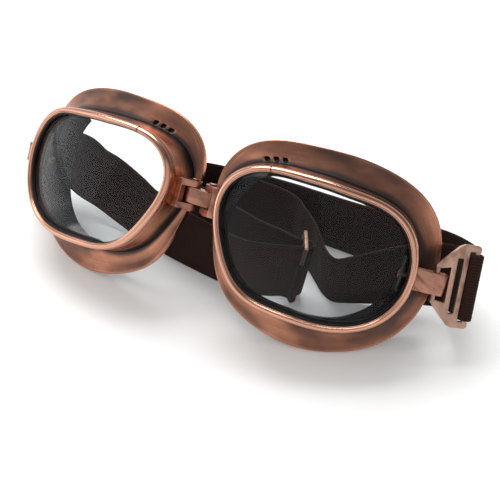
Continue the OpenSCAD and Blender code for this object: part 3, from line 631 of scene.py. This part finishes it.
def makeWall(name, side):
    def pointAt(t, s):
        return rimPoint(t, s[1], s[2], s[3]) if s[0] == "rim" else brimPoint(t, s[1], s[2])

    piece = ringPiece(name, side, ringAngles, wallLine["places"], pointAt, wallLine["marks"])
    softShade(piece, 42)
    return give(piece, wallCopper)


brimSheet = {
    "ventMiddle": 129,
    "ventStep": 5,
    "ventHalf": 1.25,
    "thick": 1.2,
    "steps": [0, 0.02, 0.14, 0.26, 0.34, 0.43, 0.54, 0.66, 0.78, 0.88, 0.95],
}


def makeBrim(name, side):
    b = brimSheet
    ventEdges = sorted(b["ventMiddle"] + k * b["ventStep"] + e * b["ventHalf"] for k in (-1, 0, 1) for e in (-1, 1))
    start, count = ventEdges[-1] + 3, ringCount - 8
    angles = ventEdges + [start + (354 - (ventEdges[-1] - ventEdges[0])) * k / count for k in range(count + 1)]
    steps = b["steps"]
    front = [(w, 0, 0) for w in steps]
    front += [(0.982, 0.06, 0), (0.997, 0.22, 0), (1, 0.5, 0), (1, 1.3, 0), (1, 2.02, 0)]
    rear = [(1, 2.2, -0.2), (1, 2.2, -1.0), (1, 2.02, -1.2), (1, 1.6, -1.2), (0.97, 1.28, -0.8)]
    rear += [(w, b["thick"], 0) for w in reversed(steps)]
    profile = front + rear
    marks = []
    for w, back, grow in profile:
        # painted highlight along the outer lip; painted shade near the crease and over the whole rear face
        edge = max(0.0, (w - 0.93) / 0.07) if back < 2.1 else 0.4
        crease = max(0.0, 1 - w / 0.3) ** 1.2
        inside = 0.6 if back >= b["thick"] and w < 0.97 else 0.0
        marks.append((0.75 * edge, 0.75 * crease + inside))

    piece = ringPiece(name, side, angles, profile, lambda t, s: brimPoint(t, s[0], s[1], s[2]), marks)
    for k in (-1, 0, 1):
        t = b["ventMiddle"] + k * b["ventStep"]
        take(piece)
        bpy.ops.object.mode_set(mode="EDIT")
        bpy.ops.mesh.select_mode(type="FACE")
        bpy.ops.mesh.select_all(action="DESELECT")
        mesh = bmesh.from_edit_mesh(piece.data)
        for w in (0.08, 0.2):
            for back in (0, b["thick"]):
                target = fromCup(brimPoint(t, w, back), side) * mm
                face = min(mesh.faces, key=lambda f: (f.calc_center_median() - target).length)
                face.select_set(True)
        bmesh.update_edit_mesh(piece.data)
        bpy.ops.mesh.select_mode(type="FACE")
        bpy.ops.mesh.delete(type="FACE")
        selectOpenEdges()
        bpy.ops.mesh.bridge_edge_loops()
        bpy.ops.object.mode_set(mode="OBJECT")
    editAll(piece, outwards)
    applyModifier(piece, "SUBSURF", levels=1, render_levels=1)
    softShade(piece, 48)
    return give(piece, brimCopper)


def makeEyeCup(name, side):
    steps = [0.0, 0.02, 0.1, 0.2, 0.3, 0.42, 0.54, 0.66, 0.78, 0.88, 0.95, 0.985, 1.0]
    inner = [(v, 0.0) for v in steps[1:-1]]
    outer = [(v, 1.0) for v in reversed(steps[1:-1])]
    profile = inner + [(1.0, 0.3), (1.0, 0.7)] + outer + [(0.0, 0.75), (0.0, 0.25)]
    piece = ringPiece(name, side, ringAngles, profile, lambda t, s: cupPoint(t, s[0], s[1]))
    softShade(piece, 50)
    return give(piece, linerRubber)


padSteps = [(0.97, 0.86), (0.9, 0.96), (0.82, 1), (0.71, 1.03), (0.6, 1.04), (0.49, 1.02), (0.38, 0.98),
            (0.27, 0.9), (0.16, 0.78), (0.09, 0.62), (0.04, 0.4), (0.01, 0.18), (0, 0.02)]


def makePad(name, side):
    profile = [("brim", 0.9, 1.6, -1.4), ("brim", 0.75, 1.6, -1.2), ("brim", 0.6, 1.6, -1.0),
               ("brim", 0.49, 2.1, -0.5), ("brim", 0.38, 2.7, 0), ("cup", 0.84, 1.3, 0),
               ("cup", 0.93, 1.3, 0)]
    profile += [("pad", q, v, 0) for q, v in padSteps]

    def pointAt(t, s):
        if s[0] == "brim":
            return brimPoint(t, s[1], s[2], s[3])
        if s[0] == "cup":
            return cupPoint(t, s[1], s[2])
        return padPoint(t, s[1], s[2])

    piece = ringPiece(name, side, ringAngles, profile, pointAt)
    for v in piece.data.vertices:  # slightly uneven foam
        v.co += v.normal * 0.00012 * (noise.noise(v.co * 90) - 0.4)
    applyModifier(piece, "SUBSURF", levels=1, render_levels=1)
    softShade(piece, 60)
    return give(piece, padFoam)


shellMakers = {
    "bezel": (makeBezel, "bright_copper"),
    "lens": (makeLens, "lens"),
    "gasket": (makeGasket, "black_rubber"),
    "front_frame": (makeWall, "patina_copper"),
    "brim": (makeBrim, "copper"),
    "eye_cup": (makeEyeCup, "black_rubber"),
    "face_pad": (makePad, "pad_foam"),
}
for sideName, side in sides.items():
    for kind, (maker, slotName) in shellMakers.items():
        node = f"{kind}_{sideName}"
        piece = maker(f"{kind}_shape_{sideName}", side)
        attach(piece, f"cup_{sideName}")
        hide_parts(node)
    print("cup made:", sideName)


fitting = {
    "hinge_bracket": (0.35, fittingCopper, "cup"),
    "strap_tab": (0.3, fittingCopper, "cup"),
    "tab_plate": (0.25, plateRubber, "cup"),
    "tab_rivet": (0.15, fittingCopper, "cup"),
    "hinge_pin": (0.18, fittingCopper, "bridge"),
}
for sideName in sides:
    for kind, (width, material, body) in fitting.items():  # width is the rounding of the edges
        node = f"{kind}_{sideName}"
        piece = cadCopy(node, f"{kind}_shape_{sideName}", width)
        give(piece, material)
        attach(piece, body if body == "bridge" else f"cup_{sideName}")
        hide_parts(node)
piece = cadCopy("bridge_link", "bridge_link_shape", 0.45, 3)
give(piece, fittingCopper)
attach(piece, "bridge")
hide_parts("bridge_link")
print("fittings made")


buckle = {
    "wallX": 42.455,
    "wallY": 18.2,
    "reach": 7.8,
    "turn": 13.8,
    "tabZ": -0.9,
    "tilt": 6.5,
    "fold": {1: 0, -1: 57},
    "thick": 1.8,
    "barR": 1.1,
    "span": 14.5,
    "half": 17,
    "window": 5,
    "windowHalf": 6.4,
    "stubHalf": 7.5,
    "slotHalf": 11.3,
    "forkHalf": 14.2,
    "bevel": 0.42,
}


def fromBuckle(p, side):
    b = buckle
    fold = b["fold"][side]
    a, d = p[0] * cosD(fold) - p[1] * sinD(fold), p[0] * sinD(fold) + p[1] * cosD(fold)
    u = a * cosD(b["tilt"]) - p[2] * sinD(b["tilt"])
    w = a * sinD(b["tilt"]) + p[2] * cosD(b["tilt"])
    x0 = b["wallX"] + b["reach"] * cosD(b["turn"])
    y0 = b["wallY"] + b["reach"] * sinD(b["turn"])
    return fromCup((
        x0 + u * cosD(b["turn"]) - d * sinD(b["turn"]),
        y0 + u * sinD(b["turn"]) + d * cosD(b["turn"]),
        b["tabZ"] + w,
    ), side)


def barBetween(name, a, b, radius, vertices=28):
    deselect()
    bpy.ops.mesh.primitive_cylinder_add(vertices=vertices, radius=radius * mm, depth=(b - a).length)
    piece = bpy.context.object
    piece.name = piece.data.name = name
    piece.matrix_world = Matrix.Translation((a + b) / 2) @ (b - a).to_track_quat("Z", "Y").to_matrix().to_4x4()
    settle(piece)
    return piece


def stampedPlate(name, columns, rowsAt, holes, thick, bevel, placeAt):
    rowCount = len(rowsAt(0))
    deselect()
    bpy.ops.mesh.primitive_grid_add(x_subdivisions=len(columns) - 1, y_subdivisions=rowCount - 1, size=1)
    piece = bpy.context.object
    piece.name = piece.data.name = name
    cells = []
    for v in piece.data.vertices:
        i = round((v.co.x + 0.5) * (len(columns) - 1))
        j = round((v.co.y + 0.5) * (rowCount - 1))
        cells.append((i, j))
        v.co = Vector((columns[i] if not isinstance(columns[i], tuple) else columns[i][j], 0, rowsAt(i)[j])) * mm
    bpy.ops.object.mode_set(mode="EDIT")
    bpy.ops.mesh.select_mode(type="FACE")
    bpy.ops.mesh.select_all(action="DESELECT")
    mesh = bmesh.from_edit_mesh(piece.data)
    for f in mesh.faces:
        ii = [cells[v.index][0] for v in f.verts]
        jj = [cells[v.index][1] for v in f.verts]
        if any(min(ii) >= a and max(ii) <= b and min(jj) >= c and max(jj) <= d for a, b, c, d in holes):
            f.select_set(True)
    bmesh.update_edit_mesh(piece.data)
    bpy.ops.mesh.delete(type="FACE")
    bpy.ops.mesh.select_all(action="SELECT")
    bpy.ops.mesh.extrude_region_move(TRANSFORM_OT_translate={"value": (0, thick * mm, 0)})
    bpy.ops.mesh.select_all(action="SELECT")
    bpy.ops.transform.translate(value=(0, -thick / 2 * mm, 0))
    outwards()
    bpy.ops.object.mode_set(mode="OBJECT")
    applyModifier(piece, "BEVEL", width=bevel * mm, segments=3, limit_method="ANGLE", angle_limit=math.radians(25))
    for v in piece.data.vertices:
        v.co = placeAt(v.co / mm) * mm
    editAll(piece, mergeDoubles, outwards)
    dropUvs(piece)
    return piece


def joinPieces(main, *others):
    take(main)
    for other in others:
        other.select_set(True)
    bpy.ops.object.join()
    return main


def makeBuckle(name, side):
    b = buckle
    wh, sh, lh, fh, hh = b["windowHalf"], b["stubHalf"], b["slotHalf"], b["forkHalf"], b["half"]
    w = b["window"]
    columns = [-b["barR"], b["barR"], w, w + 2.2, w + 3.9, w + 4.4, w + 6.6, b["span"] + 0.4, b["span"] + 1.4]

    def edge(u):
        if u <= w + 2.2:
            return mix(sh, hh - 0.9, (u + b["barR"]) / (w + 2.2 + b["barR"]))
        if u <= w + 3.9:
            return mix(hh - 0.9, hh, (u - w - 2.2) / 1.7)
        if u <= b["span"] + 0.4:
            return hh
        return hh - 0.9

    def rowsAt(i):
        u = columns[i]
        top = edge(u)
        window = wh + (0.9 * max(0, u - b["barR"]) / (w - b["barR"]) if u <= w else 0.9)
        slot = min(lh, top - 2.2) if u <= w + 2.2 else lh
        fork = min(fh, top - 1.2) if u <= w + 2.2 else fh
        slot = max(slot, window + 0.4)
        fork = max(fork, slot + 0.3)
        half = [window, slot, fork, top]
        return [-h for h in reversed(half)] + half

    holes = [(0, 2, 3, 4), (3, 5, 2, 5), (6, 8, 1, 6)]
    place = lambda p: fromBuckle(p, side)
    plate = stampedPlate(name, columns, rowsAt, holes, b["thick"], b["bevel"], place)
    ends = [place((0, 0, z)) * mm for z in (-wh - 0.3, wh + 0.3)]
    inner = barBetween("innerBar", *ends, b["barR"])
    ends = [place((b["span"], 0, z)) * mm for z in (-fh - 0.3, fh + 0.3)]
    outer = barBetween("outerBar", *ends, b["barR"])
    piece = joinPieces(plate, inner, outer)
    softShade(piece, 35)
    return give(piece, castCopper)


slider = {
    "place": (38.4, 20.8),
    "turn": 24,
    "back": 8,
    "side": 8,
    "bar": 2.1,
    "end": 1.5,
    "long": 13,
    "thick": 1.6,
    "high": 31.6,
    "bevel": 0.35,
}


def fromSlider(p):
    s = slider
    x = p[0] * cosD(s["turn"]) - p[1] * sinD(s["turn"])
    y = p[0] * sinD(s["turn"]) + p[1] * cosD(s["turn"])
    z = p[2]
    zb = z * cosD(s["back"]) - y * sinD(s["back"])
    rise = s["long"] / 2 * sinD(s["back"]) + 0.3
    return Vector((
        s["place"][0] + x * cosD(s["side"]) + zb * sinD(s["side"]) - cup["across"],
        s["place"][1] + y * cosD(s["back"]) + z * sinD(s["back"]) - cup["back"],
        zb * cosD(s["side"]) - x * sinD(s["side"]) + rise,
    ))


def makeSlider(name):
    s = slider
    h, k = s["long"] / 2, s["bar"] / 2
    gap = (s["long"] - 3 * s["bar"]) / 2
    columns = [-h, -h + 0.5, -h + s["bar"], -k, k, k + gap, h - 0.5, h]

    def rowsAt(i):
        low, high = (0.5, s["high"] - 0.5) if i in (0, 7) else (0, s["high"])
        return [low, s["end"], s["high"] - s["end"], high]

    piece = stampedPlate(name, columns, rowsAt, [(2, 3, 1, 2), (4, 5, 1, 2)], s["thick"], s["bevel"],
                         lambda p: fromSlider((p[1], p[0], p[2])))
    softShade(piece, 35)
    return give(piece, castCopper)


for sideName, side in sides.items():
    piece = makeBuckle(f"buckle_shape_{sideName}", side)
    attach(piece, f"buckle_{sideName}")
    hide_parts(f"buckle_{sideName}")
piece = makeSlider("strap_slider_shape")
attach(piece, "bridge")
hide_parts("strap_slider")
print("buckles and slider made")


strap = {
    "wide": 27,
    "thick": 1.5,
    "round": 0.55,
    "wrap": 2.1,
    "leg": 3.6,
    "front": [
        (-84.5, 31.4, 9.4, 37), (-77, 29.4, 6.6, 39), (-66, 28, 4.6, 38),
        (-48.5, 24.4, 1, 31), (-36, 21.2, 0.2, 23), (-25, 18.7, 0.2, 18), (-10, 16.3, 0.2, 14), (6, 14.4, 0.2, 11),
        (20, 13.4, 1, 9), (31, 14.4, 3, 8)],
    "back": [
        (31, 24.6, 2.6, 8), (25, 27, 1.2, 7), (17.5, 29.8, 0.2, 6), (2.3, 33.8, 0.2, 6), (-14, 38.6, 0.2, 5),
        (-25, 42.6, 0.2, 4), (-31, 46.3, 0.2, 2), (-33, 50.3, 0.2, 1), (-30.5, 54, 0.2, 3), (-23, 56.3, 0.2, 6),
        (-4, 57.8, 0.2, 8), (18, 58.6, 0.2, 9), (43, 58.2, 0.2, 9), (64, 57, 0.2, 12), (78, 54.8, 0.8, 18),
        (88, 51.6, 2, 24), (96, 47.8, 4, 29), (102.4, 42.9, 6.4, 32), (107, 37.2, 9.2, 34)],
    "tail": [
        (101.3, 34.4, 9.2, 34), (95.5, 35.8, 6.6, 32), (88, 35.2, 4.4, 28), (80, 33.4, 2.4, 22),
        (70, 30.6, 0.6, 10), (62, 27.8, 0.2, 1), (56.5, 26.2, 0.2, -4), (51, 28.8, 0.2, -3),
        (45.5, 33.8, 0.2, 1), (39.5, 39.2, 0.2, 6),
        (32, 44, 0.2, 11), (25, 49.4, 0.2, 12), (15, 53, 0.2, 10), (0, 54.4, 0.2, 8)],
}


def footStation(f):
    w = Vector((0, sinD(f[3]), cosD(f[3])))
    rise = abs(sinD(f[3])) * strap["thick"] / 2 + 0.25
    return Vector((f[0] - cup["across"], f[1] - cup["back"], f[2] + rise)) + w * strap["wide"] / 2, w


def barStation(side, u, depth):
    c, d = (fromBuckle((buckle["span"] + u, depth, z), side) for z in (0, 1))
    return c, d - c


def sliderStation(n, d):
    s = slider
    up = Vector((cosD(s["back"]) * sinD(s["side"]), sinD(s["back"]), cosD(s["back"]) * cosD(s["side"])))
    return fromSlider((n, d, s["high"] / 2)), up


def splinePoint(a, b, c, d, t):
    return 0.5 * (2 * b + (c - a) * t + (2 * a - 5 * b + 4 * c - d) * t * t + (3 * b - a - 3 * c + d) * t ** 3)


def runBetween(stations, first, last, steps):
    run = []
    for i in range(first, last):
        for k in range(steps + (1 if i == last - 1 else 0)):
            s = [stations[min(max(n, 0), len(stations) - 1)] for n in (i - 1, i, i + 1, i + 2)]
            t = k / steps
            run.append((splinePoint(*(p[0] for p in s), t), splinePoint(*(p[1] for p in s), t)))
    return run


lane = (slider["bar"] + (slider["long"] - 3 * slider["bar"]) / 2) / 2
loopN = slider["thick"] / 2 + 0.3
sliderLoop = [(-slider["thick"] - 1, -lane), (0, -lane), (loopN, -lane), (loopN + 0.7 * lane, -0.7 * lane),
              (loopN + lane, 0), (loopN + 0.7 * lane, 0.7 * lane), (loopN, lane), (0, lane),
              (-slider["thick"] - 1, lane)]
right, left = -1, 1
mainStations = [barStation(right, strap["wrap"], strap["leg"]), barStation(right, strap["wrap"], 9)]
mainStations += [footStation(f) for f in strap["front"]] + [sliderStation(*q) for q in sliderLoop]
mainStations += [footStation(f) for f in strap["back"]]
mainStations += [barStation(left, strap["wrap"], 9), barStation(left, strap["wrap"], strap["leg"])]
tailStations = [barStation(left, -strap["wrap"], strap["leg"]), barStation(left, -strap["wrap"], 9)]
tailStations += [footStation(f) for f in strap["tail"]]


def wrapRun(side):
    points = [(-strap["wrap"], strap["leg"] * k / 3) for k in (3, 2, 1)]
    points += [(-strap["wrap"] * cosD(a), -strap["wrap"] * sinD(a)) for a in range(0, 181, 10)]
    points += [(strap["wrap"], strap["leg"] * k / 3) for k in (1, 2, 3)]
    return [barStation(side, u, depth) for u, depth in points]


def sectionLine(wide, thick, rounding):
    half, t, r = wide / 2, thick / 2, rounding
    line = []
    corners = ((half - r, t - r, 0), (-half + r, t - r, 90), (-half + r, -t + r, 180), (half - r, -t + r, 270))
    for cx, cz, start in corners:
        for a in (0, 30, 60, 90):
            line.append((cx + r * cosD(start + a), cz + r * sinD(start + a)))
        if start in (0, 180):
            sign = 1 if start == 0 else -1
            for k in range(1, 14):
                line.append((sign * mix(half - r, -half + r, k / 14), sign * t))
    return line


def sweptBand(name, run, startAlong=0.0, before=None, after=None, size=None):
    section = sectionLine(*(size or (strap["wide"], strap["thick"], strap["round"])))
    count, n = len(run), len(section)
    frames, along = [], [startAlong]
    for i, (c, w) in enumerate(run):
        behind = run[i - 1] if i else before or run[0]
        ahead = run[i + 1] if i < count - 1 else after or run[-1]
        way = (ahead[0] - behind[0]).normalized()
        across = (w - way * w.dot(way)).normalized()
        frames.append((c, across, way.cross(across).normalized()))
        if i:
            along.append(along[-1] + (c - run[i - 1][0]).length)

    def placeAt(i, j):
        c, across, through = frames[i]
        a, b = section[j % n]
        return (c + across * a + through * b) * mm

    piece = shapedGrid(name, count - 1, n, placeAt)
    weave = piece.data.attributes.new("weave", "FLOAT_VECTOR", "POINT")
    cellOf = {}
    for i in range(count):
        for j in range(n + 1):
            cellOf[tuple(round(x, 7) for x in placeAt(i, j))] = (i, j % n)
    for v in piece.data.vertices:
        i, j = cellOf[tuple(round(x, 7) for x in v.co)]
        weave.data[v.index].vector = (along[i], section[j][0], 0)
    editAll(piece, mergeDoubles)
    take(piece)
    bpy.ops.object.mode_set(mode="EDIT")
    closeOpenEnds()
    softShade(piece, 50)
    return give(piece, brownElastic), along[-1]


stepCount = 10
lastMain, lastTail = len(mainStations) - 1, len(tailStations) - 1


def blendAlong(piece, bodyA, bodyB):
    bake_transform(piece)


for sideName, side in sides.items():
    run = wrapRun(side)
    piece, length = sweptBand(f"strap_wrap_{sideName}", run)
    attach(piece, f"buckle_{sideName}")
    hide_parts(f"strap_end_{sideName}")

bandParts = [
    ("strap_near_right", mainStations, 0, 3, "buckle_right", "cup_right", "strap_side_right"),
    ("strap_far_right", mainStations, 3, 6, "cup_right", "bridge", "strap_side_right"),
    ("strap_bundle", mainStations, 6, lastMain - 8, "bridge", None, "strap_back"),
    ("strap_far_left", mainStations, lastMain - 8, lastMain - 4, "bridge", "cup_left", "strap_side_left"),
    ("strap_near_left", mainStations, lastMain - 4, lastMain, "cup_left", "buckle_left", "strap_side_left"),
    ("tail_near_left", tailStations, 0, 3, "buckle_left", "cup_left", "strap_side_left"),
    ("tail_far_left", tailStations, 3, 7, "cup_left", "bridge", "strap_side_left"),
    ("tail_loose_end", tailStations, 7, lastTail, "bridge", None, "strap_tail"),
]
along = 12.0
for name, stations, first, last, bodyA, bodyB, node in bandParts:
    run = runBetween(stations, first, last, stepCount)
    before = runBetween(stations, first - 1, first, stepCount)[-2] if first else None
    after = runBetween(stations, last, last + 1, stepCount)[1] if last < len(stations) - 1 else None
    piece, reachedTo = sweptBand(name, run, along, before, after)
    length = reachedTo - along
    along = reachedTo
    if bodyB is None:
        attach(piece, bodyA)
    elif "near" in name:
        if "buckle" in bodyA:
            blendAlong(piece, bodyA, bodyB)
        else:
            blendAlong(piece, bodyA, bodyB)
    else:
        blendAlong(piece, bodyA, bodyB)
    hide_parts(node)

sewnEnd = {
    "wide": 20.5,
    "thick": 0.7,
    "round": 0.3,
    "low": 1.8,
    "line": [(-9.5, -4.1), (-6.5, -4.12), (-4, -4.15), (-2.6, -4.45), (-1.6, -5.1), (-1.3, -5.9), (-1.15, -6.6),
             (-0.6, -7), (0, -7.1), (0.6, -7), (1.15, -6.6), (1.3, -5.9), (1.3, -5), (1.1, -4.3), (0.5, -3.98),
             (-0.3, -3.95), (-1.3, -3.95)],
}
upAlong = sliderStation(0, 0)[1]
middleUp = sewnEnd["low"] + sewnEnd["wide"] / 2
stations = [(fromSlider((n, d, middleUp)), upAlong) for n, d in sewnEnd["line"]]  # round the near bar
piece, length = sweptBand("strap_sewn_end", runBetween(stations, 0, len(stations) - 1, 3), 3.0,
                          size=(sewnEnd["wide"], sewnEnd["thick"], sewnEnd["round"]))
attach(piece, "bridge")
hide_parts("strap_back")
print("strap made")


studio = {
    "camera": (123.05, -223.6, 247.25),
    "azimuth": 26.6,
    "elevation": 42.78,
    "lens": 55.4,
    "floor": "f4f4f3",
    "ambient": 0.55,
    "keyWatts": 10.5,
    "fillWatts": 2.0,
}

deselect()
bpy.ops.mesh.primitive_plane_add(size=6, location=(0, 0, -0.00005))
floor = bpy.context.object
floor.name = "floor"
settle(floor)
material, tree, shader = newMaterial("paleFloor")
shader.inputs["Base Color"].default_value = colour(studio["floor"])
shader.inputs["Roughness"].default_value = 0.6
shader.inputs["Specular IOR Level"].default_value = 0.25
path = put(tree, "ShaderNodeLightPath")
seen = calc(tree, "MAXIMUM", path.outputs["Is Camera Ray"], path.outputs["Is Transmission Ray"])
shader.inputs["Emission Color"].default_value = (1, 1, 1, 1)
tree.links.new(calc(tree, "MULTIPLY", seen, 0.08), shader.inputs["Emission Strength"])
give(floor, material)


def makeWorld():
    world = bpy.data.worlds.new("studio")
    scene.world = world
    world.use_nodes = True
    tree = world.node_tree
    background = next(n for n in tree.nodes if n.type == "BACKGROUND")
    path = put(tree, "ShaderNodeLightPath")
    direction = put(tree, "ShaderNodeTexCoord").outputs["Generated"]
    parts = put(tree, "ShaderNodeSeparateXYZ", {0: direction})
    aside, up = parts.outputs[0], parts.outputs[2]
    ceiling = put(tree, "ShaderNodeMapRange",
                  {"Value": up, "From Min": 0.1, "From Max": 0.75, "To Min": 1.0, "To Max": 0.28},
                  interpolation_type="SMOOTHSTEP").outputs[0]
    shade = put(tree, "ShaderNodeMapRange",
                {"Value": aside, "From Min": -0.1, "From Max": 0.8, "To Min": 1.0, "To Max": 0.3},
                interpolation_type="SMOOTHSTEP").outputs[0]
    ceiling = calc(tree, "MULTIPLY", ceiling, shade)
    seen = calc(tree, "MAXIMUM", path.outputs["Is Camera Ray"], path.outputs["Is Transmission Ray"])
    mirrored = path.outputs["Is Glossy Ray"]
    plain = calc(tree, "MULTIPLY_ADD", seen, 1 - studio["ambient"], studio["ambient"])
    mirror = calc(tree, "MULTIPLY", mirrored, calc(tree, "SUBTRACT", ceiling, studio["ambient"]))
    strength = calc(tree, "ADD", plain, mirror)
    tree.links.new(strength, background.inputs["Strength"])
    background.inputs["Color"].default_value = (1, 1, 1, 1)


makeWorld()


def softbox(name, place, size, watts, target=(0, 0, 0.03)):
    deselect()
    bpy.ops.object.light_add(type="AREA", location=place)
    lamp = bpy.context.object
    lamp.name = name
    lamp.data.shape = "RECTANGLE"
    lamp.data.size, lamp.data.size_y = size
    lamp.data.energy = watts
    lamp.rotation_euler = (Vector(target) - Vector(place)).to_track_quat("-Z", "Y").to_euler()
    return lamp


softbox("keyBox", (-0.35, 0.45, 0.95), (0.9, 0.6), studio["keyWatts"])
fills = (("frontBox", (0.75, -0.6, 0.6), (1.1, 1.1)), ("sideBox", (-0.8, -0.35, 0.5), (0.8, 0.9)))
for name, place, size in fills:
    softbox(name, place, size, studio["fillWatts"]).visible_transmission = False  # no second image in the lenses

camera = bpy.data.objects.new("camera", bpy.data.cameras.new("camera"))
scene.collection.objects.link(camera)
level = cosD(studio["elevation"])
back = Vector((sinD(studio["azimuth"]) * level, -cosD(studio["azimuth"]) * level, sinD(studio["elevation"])))
camera.location = Vector(studio["camera"]) * mm
camera.rotation_euler = (-back).to_track_quat("-Z", "Y").to_euler()
camera.data.lens = studio["lens"]
camera.data.sensor_width = 36
camera.data.clip_start, camera.data.clip_end = 0.01, 20
scene.camera = camera
scene.view_settings.view_transform = "Standard"
print("studio set")

bpy.context.view_layer.update()
